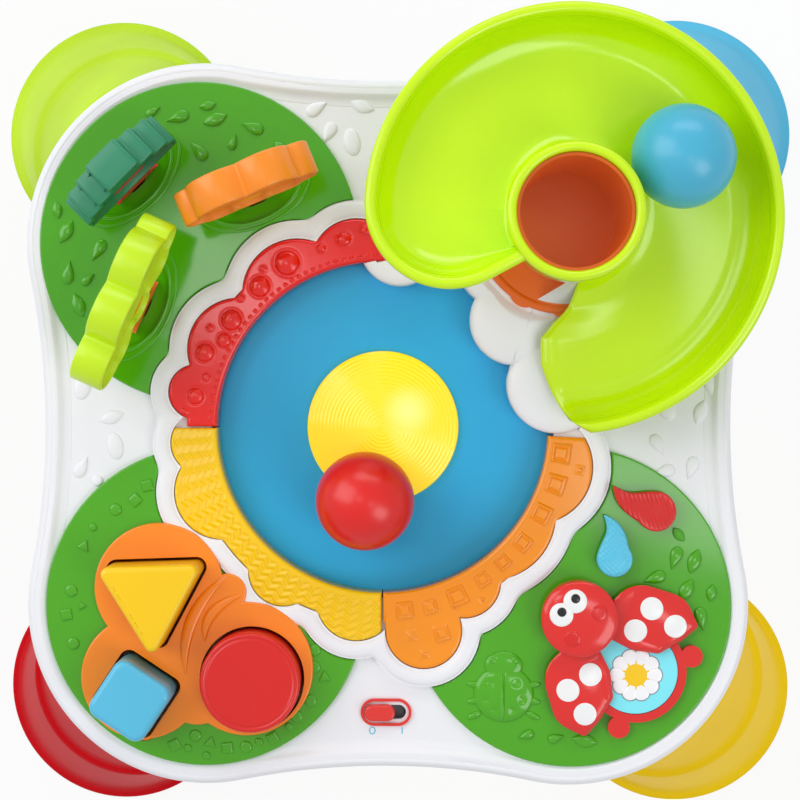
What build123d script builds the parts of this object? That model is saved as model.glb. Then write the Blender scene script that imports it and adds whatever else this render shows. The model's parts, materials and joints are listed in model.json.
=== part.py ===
from build123d import *
import os
from math import acos, atan2, cos, degrees, hypot, radians, sin, sqrt

# Musical activity table for babies: a play deck on four splayed legs.
# Millimetres, +Z up.  The origin is on the floor, under the middle of the four feet.
# Each function makes one sub-part, and the table at the end of the file writes them out.

# ---------------------------------------------------------------- driving dimensions
# Fits
SEAT_GAP = 0.3            # between two pieces that are pushed together
SLIDE_GAP = 0.4           # round a button or knob that travels in its hole
PIN_GAP = 0.05            # between a pivot pin and the hub that turns on it
BLOCK_GAP = 1.6           # between a play block and the well that it drops into

# Deck
DECK_Z = 340.0            # top face of the white deck above the floor
DECK_WALL = 3.0
CORNER_CENTRE = 100.0     # each corner's round is centred this far out in x and in y
CORNER_RADIUS = 99.0
WAIST = 189.0             # middle of each hollow side from the centre
RIM_WIDTH = 8.0
RIM_HEIGHT = 3.0
SKIRT_DEPTH = 40.0        # top shell, deck face down to the seam
BASE_DEPTH = 30.0         # bottom shell, seam down to its underside
BASE_INSET = 4.0
BASE_ROUND = 14.0

# Legs
FOOT_CENTRE = 204.0       # foot centre from the origin, in x and in y
FOOT_RADIUS = 85.0
FOOT_FLANGE = 9.0         # height of the flat rim of the foot
FOOT_STEP = 5.0           # how far the first band stands in from the flange
LEG_TOP_CENTRE = 118.0    # leg's top from the centre, in x and in y
LEG_TOP_RADIUS = 40.0
LEG_WALL = 3.0
BAND_STEP = 1.0           # ledge between two bands of the leg
BAND_HEIGHTS = (0.22, 0.46, 0.72)   # ledges, as shares of the leg's height
SPIGOT_RADIUS = 28.0
SPIGOT_LENGTH = 24.0
SOCKET_WALL = 4.0
SOCKET_DROP = 12.0        # how far the leg sockets hang below the bottom shell

# Play well
PLAY_X = -2.3
PLAY_Y = -1.4
PLAY_RADIUS = 91.0
PLAY_DEPTH = 12.0         # play floor below the deck
PLAY_FLOOR = 3.0          # thickness of the floor
ARC_WALL = 3.0
ARC_HEIGHT = 4.5          # tactile arcs above the deck
DOME_RADIUS = 42.0
DOME_HEIGHT = 9.0
DOME_EDGE = 2.5
RING_WIDTH = 10.0         # white scalloped ring outside the arcs
RING_HEIGHT = 4.0

# Scallops, each (angle, reach beyond the edge of the well, radius of the scallop)
RED_LOBES = ((99.0, 24.4, 25.0), (122.5, 25.9, 30.0), (151.5, 26.8, 28.0), (169.3, 28.2, 15.0))
YELLOW_LOBES = ((185.0, 25.7, 17.0), (202.0, 30.3, 26.0), (235.5, 24.4, 19.0), (261.5, 27.5, 22.0))
ORANGE_LOBES = ((281.5, 44.0, 21.0), (298.0, 25.0, 20.0), (321.0, 21.0, 36.0), (345.5, 27.1, 31.0))
SCALLOP_BASE = 16.5       # plain band that the scallops stand out from
RED_START = 88.5
YELLOW_START = 180.0
ORANGE_START = 270.0
ORANGE_END = 357.3
BUBBLE_RADIUS = 6.0       # bubbles of the red arc
BUBBLE_HEIGHT = 2.4
TILE_SIDE = 11.5          # first and largest of the orange arc's squares
TILE_HEIGHT = 1.2
TILE_REACH = 9.0          # middle of the row of squares from the edge of the well
TILE_STEP = 12.0          # degrees between two squares
ARC_SPLIT = 0.25          # half the joint line between two arcs, in degrees

# Panels
PANEL_RADIUS = 88.0
PANEL_THICK = 3.0
PANEL_ROUND = 1.0
PANEL_MARGIN = 0.6        # panel edge to the white ring
TREE_PANEL_CENTRE = (-103.0, 100.0)
SORTER_PANEL_CENTRE = (-100.0, -100.0)
GARDEN_PANEL_CENTRE = (101.0, -100.0)

# Tower
TOWER_X = 97.0
TOWER_Y = 109.0
TUBE_INNER = 30.0
TUBE_WALL = 3.3
TOWER_TOP = 90.0          # rim of the tube above the deck
COLUMN_HEIGHT = 50.0
COLUMN_FOOT = 43.0
COLUMN_FLARE = 22.0
CHUTE_WALL = 1.7
CHUTE_TOP = 85.0
CHUTE_FLOOR = 2.0         # flange and floor of the chute
CHUTE_FLANGE = 45.0
CHUTE_WAVES = 12
CHUTE_WAVE_RADIUS = 9.0
CHUTE_WAVE_REACH = 50.5
EXIT_ANGLE = 210.0
EXIT_RADIUS = 27.5        # half width of the way out

# Cloud under the tower: its puffs, each (x, y, radius)
CLOUD_HEIGHT = 5.0
CLOUD_ROUND = 4.0         # each puff's rounded shoulder
CLOUD_LOBES = (
    (7.4, 98.7, 22.5), (62.0, 88.0, 23.0), (70.7, 57.5, 25.0), (93.2, 22.3, 27.2),
    (30.0, 122.0, 22.0), (54.0, 146.0, 24.0), (92.0, 158.0, 24.0), (132.0, 146.0, 24.0),
    (148.0, 108.0, 24.0), (134.0, 70.0, 26.0), (97.0, 109.0, 56.0), (40.0, 104.0, 22.0),
)

# Spiral slide
SLIDE_START = 176.0       # angle where the landing ends and the run begins
SLIDE_END = -112.0
SLIDE_TOP = 66.0          # channel floor at the landing, above the deck
SLIDE_LOW = 9.0           # channel floor at the open end
SLIDE_OUTER_TOP = 106.0
SLIDE_OUTER_LOW = 114.0
SLIDE_WALL = 3.0
SLIDE_SIDE = 19.0         # channel wall above its floor
SLIDE_BEAD = 6.0          # width of the rolled rim
SLIDE_SWEEP = 20.0        # width of the wall's curved part
CURB_HEIGHT = 12.0
LANDING_CORNER = 43.0     # round of the landing's plan
LANDING_EDGE = 28.0       # direction of its closed end, from the corner in to the tube
LANDING_LAP = 0.5         # how far the landing's floor reaches under its walls
LIP_ANGLE = -71.0         # centre of the open end's round
BEYOND = 260.0            # farther than any piece reaches, for shapes that only cut

# Balls
BALL_RADIUS = 26.7
BLUE_BALL_ANGLE = 28.0
BLUE_BALL_REACH = 64.0
RED_BALL_AT = (-11.2, -40.8)

# Trees: crown width, angle of the crown's width direction, base centre
TREE_THICK = 18.0
TREE_HEIGHT = 70.0
TREE_PIVOT_DROP = 12.0    # pivot pin below the deck face
TREE_PIN_RADIUS = 2.0
TREE_HUB_RADIUS = 5.0
TREE_STEM_WIDTH = 12.0
TREE_STEM_DEPTH = 7.0
TREE_STEM_PLAY = 3.0      # room round the stem for the rocking
TREE_TILT = 6.0           # degrees each way
TRUNK_BASE = 31.0
TRUNK_WAIST = 15.0
TRUNK_TOP = 23.0
TRUNK_WAIST_UP = 16.0     # waist and head above the trunk's foot
TRUNK_HIGH = 28.0
TRUNK_THICK = 12.0
TRUNK_CLEAR = 3.0         # trunk's foot above the floor of its dish
TRUNK_GRIP = 8.0          # how deep the trunk's head sits in the crown
CROWN_LAP = 6.0           # how far the crown hangs down over the trunk's head
CROWN_LIP = 3.0           # raised lip round each face of a crown
CROWN_RECESS = 3.0
PINE_TIERS = (            # tiers of the pine, each (share of its width, middle above the crown's foot)
    (0.90, 7.0), (0.80, 15.0), (0.56, 23.0), (0.30, 31.0),
)
TIER_TALL = 13.0
TIER_ROUND = 4.0
CROWN_BUMPS = {           # round bumps, each (across, up, radius) as shares of the width and half height
    "orange_tree": ((-0.40, -0.22, 0.42), (-0.17, 0.22, 0.78), (0.17, 0.22, 0.78), (0.40, -0.15, 0.48)),
    "lime_tree": ((-0.35, -0.10, 0.72), (-0.08, 0.20, 0.80), (0.21, 0.14, 0.84), (0.40, -0.25, 0.45)),
}
EAR_THICK = 3.0
EAR_WIDTH = 9.0
EAR_SIDE = 1.5            # ear's inner face beyond the stem
DISH_DEPTH = 2.0
DISH_HALF_LENGTH = 25.0   # oval dish round each trunk
DISH_HALF_WIDTH = 15.0
TREES = {
    "pine": (-140.3, 135.6, 45.0, 72.0),
    "orange_tree": (-73.2, 127.2, 22.5, 70.0),
    "lime_tree": (-136.9, 66.5, 65.7, 93.0),
}

# Shape sorter
PLATE_THICK = 3.5         # sorter plate above the panel
PLATE_ROUND = 1.0
PLATE_LOBES = (           # round lobes of the sorter plate, each (x, y, radius)
    (-125.0, -89.5, 35.5), (-134.0, -139.0, 34.0), (-77.0, -134.0, 36.8),
    (-104.0, -145.0, 20.0), (-108.0, -118.0, 25.0), (-87.0, -92.0, 10.2),
)
WELL_WALL = 2.0
WELL_DEPTH = 16.0         # well floor below the deck face
ROUND_AT = (-73.8, -139.4)
ROUND_RADIUS = 27.2
ROUND_HEIGHT = 36.0
TRIANGLE_AT = (-125.8, -91.6)
TRIANGLE_SIDE = 58.0
TRIANGLE_CORNER = 4.0
TRIANGLE_HEIGHT = 49.0
TRIANGLE_TURN = 2.0
SQUARE_AT = (-137.5, -148.0)
SQUARE_SIDE = 35.0
SQUARE_HEIGHT = 46.0
SQUARE_TURN = -33.4
SQUARE_CORNER = 4.0
BLOCK_ROUND = 2.5
BLOCK_WALL = 2.5

# Garden panel
BUTTON_TRAVEL = 2.5
STEM_RADIUS = 6.0         # round stem of a key, through the panel and the deck
STEM_DROP = 8.0           # end of the stem below the deck face
BUTTON_PROUD = 6.0        # button top above the panel
RED_DROP = ((124.4, -33.4), (147.0, -47.0), 10.8)
BLUE_DROP = ((119.2, -49.8), (124.5, -73.0), 9.6)
KEY_ROUND = 1.0
DROP_BULGE = 4.0          # how far a key's full side stands out from its chord
DROP_HOLLOW = 1.5         # and how far its other side is hollow
BUG_AXIS = -45.5
BUG_HEAD_AT = (105.0, -105.0)
BUG_HEAD_RADIUS = 20.5
BUG_BODY_AT = (136.3, -135.0)
BUG_BODY_RADIUS = 27.8
BUG_DISC_RADIUS = 23.0
BUG_FOOT_RADIUS = 6.0
BUG_FOOT_ALONG = 15.4     # feet behind the middle of the body
BUG_BODY_THICK = 3.5
HEAD_PROUD = 14.0         # top of the head above the panel
HEAD_ROUND = 3.0
HEAD_STEM_FRONT = 4.6     # the head's low part ends here, towards the wings
EYE_FORWARD = 9.0
EYE_APART = 5.4
EYE_RADIUS = 6.2
EYE_THICK = 0.8
PUPIL_RADIUS = 2.2
DAISY_AT = (136.5, -137.0)
DAISY_PETALS = 12
DAISY_RADIUS = 15.0
DAISY_EYE_RADIUS = 7.2
PETAL_LONG = 4.5
PETAL_WIDE = 3.6
WING_PIN_RADIUS = 2.0
WING_BOSS_RADIUS = 4.5
WING_THICK = 2.5
WING_OPEN = 25.5          # how far each wing stands open at rest
WING_ROUNDS = (           # rounds of a wing, each (along its inner edge, out from it, radius)
    (0.0, 4.5, 4.5), (19.5, 15.5, 18.0), (32.0, 19.5, 14.5), (47.3, 21.5, 2.2), (33.0, 3.0, 3.0),
)
WING_HALF_GAP = 1.5       # wing's straight edge from the centre line when shut
WING_PIN_INSET = 9.0      # pins inside the head's edge
WING_PIN_SIDE = 6.0       # pins beside the centre line
SPOT_PLACES = ((18.3, 3.6), (22.4, 18.0), (37.6, 13.4))   # along the wing and out from its pin
SPOT_RADIUS = 6.2
SPOT_THICK = 0.6

# Switch
SWITCH_AT = (-0.3, -158.7)
SWITCH_LENGTH = 25.0
SWITCH_WIDTH = 12.0
KNOB_LENGTH = 17.0
KNOB_WIDTH = 9.0
SWITCH_TRAVEL = 7.0

# Inside
BOARD_SIZE = (84.0, 52.0)
BOARD_THICK = 1.6
BOARD_AT = (0.0, 0.0)
BOARD_POST = 8.0          # height of the posts under the main board
BOARD_POST_RADIUS = 3.0
SPEAKER_AT = (0.0, 95.0)
SPEAKER_RADIUS = 26.0
PAD_RADIUS = 5.0
PAD_HEIGHT = 4.0
LENS_LEDGE = 4.0
LENS_SKIRT = 3.0
LENS_WALL = 2.5
BATTERY_AT = (0.0, -96.0)
CELL_RADIUS = 7.1
CELL_LENGTH = 50.0
CELL_GAP = 1.0            # between two cells
DOOR_SIDE = 5.2           # door beyond the cells at each side
DOOR_POST = 16.0          # and along them, where its screw goes
BOX_ROOM = 3.8            # height of the battery box beyond a cell
SCREW_RADIUS = 1.5
SCREW_HEAD = 3.2
SCREW_POST = 4.5
SCREW_NEAR = 42.0         # shell screws from the two middle lines
SCREW_FAR = 166.0

# ---------------------------------------------------------------- values that follow
SEAM_Z = DECK_Z - SKIRT_DEPTH
BASE_Z = SEAM_Z - BASE_DEPTH
SOCKET_Z = BASE_Z - SOCKET_DROP
FLOOR_Z = DECK_Z - PLAY_DEPTH
LENS_RISE = DOME_HEIGHT - DOME_EDGE
LENS_BALL = (DOME_RADIUS ** 2 + LENS_RISE ** 2) / (2 * LENS_RISE)   # ball that the lens is a cap of
CELL_PITCH = 2 * CELL_RADIUS + CELL_GAP
BATTERY_SIZE = (3 * CELL_PITCH + 2 * DOOR_SIDE, CELL_LENGTH + DOOR_POST)
BATTERY_HEIGHT = 2 * CELL_RADIUS + BOX_ROOM
SIDE_RADIUS = ((CORNER_CENTRE ** 2 + (WAIST - CORNER_CENTRE) ** 2 - CORNER_RADIUS ** 2)
               / (2 * (CORNER_RADIUS - WAIST + CORNER_CENTRE)))
PANEL_TOP = DECK_Z + PANEL_THICK
PLAY_CENTRE = (PLAY_X, PLAY_Y)
TOWER = (TOWER_X, TOWER_Y)
TUBE_OUTER = TUBE_INNER + TUBE_WALL
PLATE_TOP = PANEL_TOP + PLATE_THICK
PIVOT_Z = DECK_Z - TREE_PIVOT_DROP
TRUNK_FOOT = TREE_PIVOT_DROP + PANEL_THICK - DISH_DEPTH + TRUNK_CLEAR   # above the pivot pin
QUADRANTS = {"back_right": (1, 1), "back_left": (-1, 1), "front_left": (-1, -1), "front_right": (1, -1)}


# ---------------------------------------------------------------- plan helpers
def polar(centre, angle, reach):
    """Point at an angle in degrees and a distance from a centre."""
    return (centre[0] + reach * cos(radians(angle)), centre[1] + reach * sin(radians(angle)))


def slab(plan, low, high):
    """Plan shape extruded between two heights."""
    return Pos(0, 0, low) * extrude(plan, high - low)


def disc(centre, radius, low, high):
    """Upright cylinder between two heights."""
    return slab(Pos(*centre) * Circle(radius), low, high)


def top_edges(solid):
    """Edges of the highest flat face."""
    return solid.faces().sort_by(Axis.Z)[-1].edges()


def bottom_edges(solid):
    """Edges of the lowest flat face."""
    return solid.faces().sort_by(Axis.Z)[0].edges()


def table_outline(inset=0.0):
    """Rounded square with hollow sides: corner circles joined by tangent side arcs."""
    corner = CORNER_RADIUS - inset
    side_centre = Vector(WAIST + SIDE_RADIUS, 0)
    corner_centre = Vector(CORNER_CENTRE, CORNER_CENTRE)
    meet = corner_centre + (side_centre - corner_centre).normalized() * corner
    diagonal = corner_centre + Vector(1, 1).normalized() * corner
    edges = []
    for quarter in range(4):
        turn = Rot(0, 0, 90 * quarter)
        side = ThreePointArc((meet.X, -meet.Y), (WAIST - inset, 0), (meet.X, meet.Y))
        bend = ThreePointArc((meet.X, meet.Y), (diagonal.X, diagonal.Y), (meet.Y, meet.X))
        edges += [turn * side, turn * bend]
    return make_face(edges)


def sector(start, end, reach=BEYOND):
    """Wedge of the plan between two angles about the play centre."""
    count = 4
    points = [PLAY_CENTRE]
    points += [polar(PLAY_CENTRE, start + (end - start) * step / count, reach) for step in range(count + 1)]
    return make_face(Polyline(*points, close=True))


def scallop_middle(lobe):
    """Centre of a scallop's circle."""
    angle, beyond, radius = lobe
    return polar(PLAY_CENTRE, angle, PLAY_RADIUS + beyond - radius)


def scallops(lobes, grow=0.0):
    """Disc about the play centre with round scallops standing out of it."""
    plan = Pos(*PLAY_CENTRE) * Circle(PLAY_RADIUS + SCALLOP_BASE + grow)
    for lobe in lobes:
        plan += Pos(*scallop_middle(lobe)) * Circle(lobe[2] + grow)
    return plan


def bowed(start, end, bow):
    """Arc between two points whose middle stands out by bow to the left of the way."""
    along = Vector(end[0] - start[0], end[1] - start[1])
    middle = Vector((start[0] + end[0]) / 2, (start[1] + end[1]) / 2)
    aside = Vector(-along.Y, along.X).normalized() * bow
    return ThreePointArc(start, (middle.X + aside.X, middle.Y + aside.Y), end)


def comma(drop, side):
    """Drop with a bent tail: full on one side and hollow on the other."""
    tip, centre, radius = drop
    reach = hypot(tip[0] - centre[0], tip[1] - centre[1])
    toward = degrees(atan2(tip[1] - centre[1], tip[0] - centre[0]))
    half = degrees(acos(radius / reach))
    left = polar(centre, toward + half, radius)
    right = polar(centre, toward - half, radius)
    back = polar(centre, toward + 180, radius)
    left_bow, right_bow = (DROP_BULGE, -DROP_HOLLOW) if side > 0 else (-DROP_HOLLOW, DROP_BULGE)
    sides = [bowed(left, tip, -left_bow), bowed(tip, right, -right_bow)]
    return make_face(sides + [ThreePointArc(right, back, left)])


# ---------------------------------------------------------------- cloud round the tower
def cloud_plan(grow=0.0):
    """Puffs of the cloud seen from above."""
    plan = Sketch()
    for x, y, radius in CLOUD_LOBES:
        plan += Pos(x, y) * Circle(radius + grow)
    return plan


# ---------------------------------------------------------------- arcs and ring
def arc_plan(lobes, start, end, grow=0.0):
    """Plan of one tactile arc."""
    plan = scallops(lobes, grow) & sector(start + ARC_SPLIT, end - ARC_SPLIT)
    return plan - Pos(*PLAY_CENTRE) * Circle(PLAY_RADIUS)


def cloud_cut():
    """Room in the cloud for the end of the red arc."""
    room = scallops(RED_LOBES, SEAT_GAP) & sector(RED_START - ARC_SPLIT, YELLOW_START)
    return room - Pos(*PLAY_CENTRE) * Circle(PLAY_RADIUS - SEAT_GAP)


def tactile_arc(lobes, start, end):
    """Scalloped plate on the deck with a skirt down to the play floor."""
    plate = slab(arc_plan(lobes, start, end), DECK_Z, DECK_Z + ARC_HEIGHT)
    band = Pos(*PLAY_CENTRE) * (Circle(PLAY_RADIUS + ARC_WALL) - Circle(PLAY_RADIUS))
    band = band & sector(start + ARC_SPLIT, end - ARC_SPLIT)
    return fillet(top_edges(plate), 1.5) + slab(band, FLOOR_Z, DECK_Z)


def bubble(radius, height):
    """Low round cap standing on the plane z = 0."""
    ball = (radius ** 2 + height ** 2) / (2 * height)
    profile = make_face([
        Line((0, 0), (radius, 0)),
        CenterArc((0, height - ball), ball, degrees(acos(radius / ball)), 90 - degrees(acos(radius / ball))),
        Line((0, height), (0, 0)),
    ])
    return revolve(Plane.XZ * profile, Axis.Z)


def red_bubble_arc():
    """Arc with a round bubble in every scallop."""
    body = tactile_arc(RED_LOBES, RED_START, YELLOW_START)
    for lobe in RED_LOBES:
        place = polar(PLAY_CENTRE, lobe[0], PLAY_RADIUS + SCALLOP_BASE - BUBBLE_RADIUS)
        body += Pos(*place, DECK_Z + ARC_HEIGHT) * bubble(BUBBLE_RADIUS, BUBBLE_HEIGHT)
    return body


def yellow_wave_arc():
    """Scalloped arc; its fine waves are left to the surface."""
    return tactile_arc(YELLOW_LOBES, YELLOW_START, ORANGE_START)


def orange_square_arc():
    """Arc with a row of raised squares, growing towards the big scallop."""
    body = tactile_arc(ORANGE_LOBES, ORANGE_START, ORANGE_END)
    for index in range(7):
        side = TILE_SIDE - index
        angle = ORANGE_START + TILE_STEP * (index + 0.75)
        tile = slab(RectangleRounded(side, side, TILE_SIDE / 8), 0, TILE_HEIGHT)
        at = polar(PLAY_CENTRE, angle, PLAY_RADIUS + TILE_REACH)
        body += Pos(*at, DECK_Z + ARC_HEIGHT) * Rot(0, 0, angle) * tile
    return body


def ring_plan():
    """White scalloped band that follows the arcs outside."""
    all_lobes = RED_LOBES + YELLOW_LOBES + ORANGE_LOBES
    span = sector(RED_START - 8, YELLOW_START) + sector(YELLOW_START, ORANGE_START)
    span += sector(ORANGE_START, ORANGE_END + 4)
    plan = (scallops(all_lobes, RING_WIDTH) & span) - scallops(all_lobes, SEAT_GAP)
    return plan - cloud_plan(SEAT_GAP) - plate_plan(SEAT_GAP)


# ---------------------------------------------------------------- shells
def deck_openings():
    """Everything that passes through the deck: well, tree slots, sorter wells and stems."""
    cut = Pos(*PLAY_CENTRE) * Circle(PLAY_RADIUS + ARC_WALL + SEAT_GAP)
    for x, y, angle, width in TREES.values():
        cut += Pos(x, y) * Rot(0, 0, angle) * SlotOverall(TREE_STEM_WIDTH + 14, TREE_STEM_DEPTH + 10)
    for plan in well_plans(WELL_WALL + SEAT_GAP):
        cut += plan
    for centre in (BUG_HEAD_AT, RED_DROP[1], BLUE_DROP[1]):
        cut += Pos(*centre) * Circle(STEM_RADIUS + SLIDE_GAP + 1)
    cut += Pos(*SWITCH_AT) * SlotOverall(SWITCH_LENGTH - 3, SWITCH_WIDTH - 4)
    return cut


def top_shell():
    """White deck with a rolled rim, hollow below, and the raised ring round the arcs."""
    shell = slab(table_outline(), SEAM_Z, DECK_Z + RIM_HEIGHT)
    shell = fillet(top_edges(shell), 6.0)
    shell -= slab(table_outline(RIM_WIDTH), DECK_Z, DECK_Z + RIM_HEIGHT + 1)
    shell -= slab(table_outline(DECK_WALL), SEAM_Z - 1, DECK_Z - DECK_WALL)
    shell += slab(ring_plan(), DECK_Z, DECK_Z + RING_HEIGHT)
    for at in screw_places():
        shell += disc(at, SCREW_POST, SEAM_Z, DECK_Z - DECK_WALL)
        shell -= disc(at, SCREW_RADIUS + PIN_GAP, SEAM_Z - 1, SEAM_Z + 16)
    for first, second in ((BUG_HEAD_AT, BLUE_DROP[1]), (BLUE_DROP[1], RED_DROP[1])):
        at = ((first[0] + second[0]) / 2, (first[1] + second[1]) / 2)
        shell += disc(at, BOARD_POST_RADIUS, DECK_Z - STEM_DROP - PAD_HEIGHT, DECK_Z - DECK_WALL)
    return shell - slab(deck_openings(), DECK_Z - DECK_WALL - 1, DECK_Z + 1)


def bottom_shell():
    """White tray that closes the deck from below, with four leg sockets."""
    tray = slab(table_outline(BASE_INSET), BASE_Z, SEAM_Z)
    tray = fillet(bottom_edges(tray), BASE_ROUND)
    inner = slab(table_outline(BASE_INSET + DECK_WALL), BASE_Z + DECK_WALL, SEAM_Z + 1)
    tray -= fillet(bottom_edges(inner), BASE_ROUND - DECK_WALL)
    lip = table_outline(DECK_WALL + SEAT_GAP) - table_outline(BASE_INSET + DECK_WALL)
    step = table_outline() - table_outline(BASE_INSET)
    tray += slab(lip, SEAM_Z - 4, SEAM_Z + 5) - slab(step, SEAM_Z - 5, SEAM_Z)
    for sx, sy in QUADRANTS.values():
        at = (sx * LEG_TOP_CENTRE, sy * LEG_TOP_CENTRE)
        tray += disc(at, SPIGOT_RADIUS + SEAT_GAP + SOCKET_WALL, SOCKET_Z, BASE_Z + SOCKET_DROP + DECK_WALL)
        tray -= disc(at, SPIGOT_RADIUS + SEAT_GAP, SOCKET_Z - 1, BASE_Z + SOCKET_DROP)
    for at in screw_places():
        tray += disc(at, SCREW_POST, BASE_Z + DECK_WALL, SEAM_Z)
        tray -= disc(at, SCREW_HEAD + SEAT_GAP, BASE_Z - 1, BASE_Z + 4)
        tray -= disc(at, SCREW_RADIUS + SEAT_GAP, BASE_Z, SEAM_Z + 1)
    for sx, sy in QUADRANTS.values():
        at = (BOARD_AT[0] + sx * (BOARD_SIZE[0] / 2 - 4), BOARD_AT[1] + sy * (BOARD_SIZE[1] / 2 - 4))
        tray += disc(at, BOARD_POST_RADIUS, BASE_Z + DECK_WALL, BASE_Z + DECK_WALL + BOARD_POST)
    tray -= battery_place() * Box(*BATTERY_SIZE, 3 * DECK_WALL)
    for ring, count in ((0, 1), (9, 6), (17, 12)):
        for index in range(count):
            at = polar(SPEAKER_AT, 360 * index / count, ring)
            tray -= disc(at, 1.6, BASE_Z - 1, BASE_Z + DECK_WALL + 1)
    return tray


# ---------------------------------------------------------------- legs
def leg(sx, sy):
    """Splayed blow-moulded leg: stepped bands from a wide round foot up to its spigot."""
    def level(share, radius):
        reach = FOOT_CENTRE + (LEG_TOP_CENTRE - FOOT_CENTRE) * share
        return Plane((sx * reach, sy * reach, FOOT_FLANGE + (SOCKET_Z - FOOT_FLANGE) * share)) * Circle(radius)

    def widths(share):
        start = FOOT_RADIUS - FOOT_STEP
        return start + (LEG_TOP_RADIUS - start) * share

    stops = (0.0,) + BAND_HEIGHTS + (1.0,)
    body = disc((sx * FOOT_CENTRE, sy * FOOT_CENTRE), FOOT_RADIUS, 0, FOOT_FLANGE)
    body = fillet(top_edges(body), 4.0)
    bore = FOOT_RADIUS - FOOT_STEP - LEG_WALL
    hollow = disc((sx * FOOT_CENTRE, sy * FOOT_CENTRE), bore, LEG_WALL, FOOT_FLANGE)
    for index in range(len(stops) - 1):
        low, high = stops[index], stops[index + 1]
        step = BAND_STEP * (len(stops) - 2 - index)
        body += loft([level(low, widths(low) + step), level(high, widths(high) + step)])
        hollow += loft([level(low, widths(low) - LEG_WALL), level(high, widths(high) - LEG_WALL)])
    at = (sx * LEG_TOP_CENTRE, sy * LEG_TOP_CENTRE)
    roof = slab(Pos(*at) * Circle(LEG_TOP_RADIUS * 2), SOCKET_Z - LEG_WALL, SOCKET_Z + 1)
    return body - (hollow - roof) + disc(at, SPIGOT_RADIUS, SOCKET_Z, SOCKET_Z + SPIGOT_LENGTH - SEAT_GAP)


# ---------------------------------------------------------------- play well
def play_floor():
    """Blue dish below the deck that the balls roll on."""
    rim = PLAY_RADIUS + ARC_WALL + 9
    dish = disc(PLAY_CENTRE, rim, FLOOR_Z - PLAY_FLOOR, DECK_Z - DECK_WALL)
    dish -= disc(PLAY_CENTRE, rim - PLAY_FLOOR, FLOOR_Z, DECK_Z)
    return dish - disc(PLAY_CENTRE, DOME_RADIUS - LENS_LEDGE, FLOOR_Z - PLAY_FLOOR - 1, FLOOR_Z + 1)


def light_dome():
    """Clear yellow lens standing in the middle of the play floor."""
    cap = Pos(*PLAY_CENTRE, FLOOR_Z + DOME_HEIGHT - LENS_BALL) * Sphere(LENS_BALL)
    inner = Pos(*PLAY_CENTRE, FLOOR_Z + DOME_HEIGHT - LENS_BALL) * Sphere(LENS_BALL - LENS_WALL)
    lens = disc(PLAY_CENTRE, DOME_RADIUS, FLOOR_Z, FLOOR_Z + DOME_HEIGHT) & cap
    skirt = FLOOR_Z - PLAY_FLOOR - LENS_SKIRT
    lens += disc(PLAY_CENTRE, DOME_RADIUS - LENS_LEDGE - SEAT_GAP, skirt, FLOOR_Z)
    hollow = disc(PLAY_CENTRE, DOME_RADIUS - LENS_LEDGE - LENS_WALL, skirt - 1, FLOOR_Z + DOME_HEIGHT)
    return lens - (hollow & inner)


# ---------------------------------------------------------------- panels
def panel_plan(centre):
    """Round panel, cut back where the white ring passes."""
    edge = scallops(RED_LOBES + YELLOW_LOBES + ORANGE_LOBES, RING_WIDTH + PANEL_MARGIN)
    plan = Pos(*centre) * Circle(PANEL_RADIUS) - edge
    return plan + plate_plan() if centre == SORTER_PANEL_CENTRE else plan


def panel(centre):
    """Glossy panel lying on the deck, its upper edge rounded."""
    return fillet(top_edges(slab(panel_plan(centre), DECK_Z, PANEL_TOP)), PANEL_ROUND)


def tree_panel():
    """Panel with a dished oval round each tree and ears that carry the pivot pins."""
    body = panel(TREE_PANEL_CENTRE)
    for x, y, angle, width in TREES.values():
        place = Pos(x, y) * Rot(0, 0, angle)
        dish = Ellipse(DISH_HALF_LENGTH, DISH_HALF_WIDTH)
        body -= slab(place * dish, PANEL_TOP - DISH_DEPTH, PANEL_TOP + 1)
        hole = SlotOverall(TREE_STEM_WIDTH + 2 * TREE_STEM_PLAY, TREE_STEM_DEPTH + 2 * TREE_STEM_PLAY)
        body -= slab(place * hole, DECK_Z - 1, PANEL_TOP)
        for side in (-1, 1):
            aside = side * (TREE_STEM_WIDTH / 2 + EAR_SIDE + EAR_THICK / 2)
            ear = Pos(aside, 0) * Rectangle(EAR_THICK, EAR_WIDTH)
            body += slab(place * ear, PIVOT_Z - TREE_HUB_RADIUS, DECK_Z)
        body -= place * Pos(0, 0, PIVOT_Z) * Rot(0, 90, 0) * Cylinder(TREE_PIN_RADIUS, 3 * TREE_STEM_WIDTH)
    return body


# ---------------------------------------------------------------- trees
def tree_place(name):
    """Local frame of one tree: x along the crown's width, origin on the pivot pin."""
    x, y, angle, width = TREES[name]
    return Pos(x, y, PIVOT_Z) * Rot(0, 0, angle)


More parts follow.
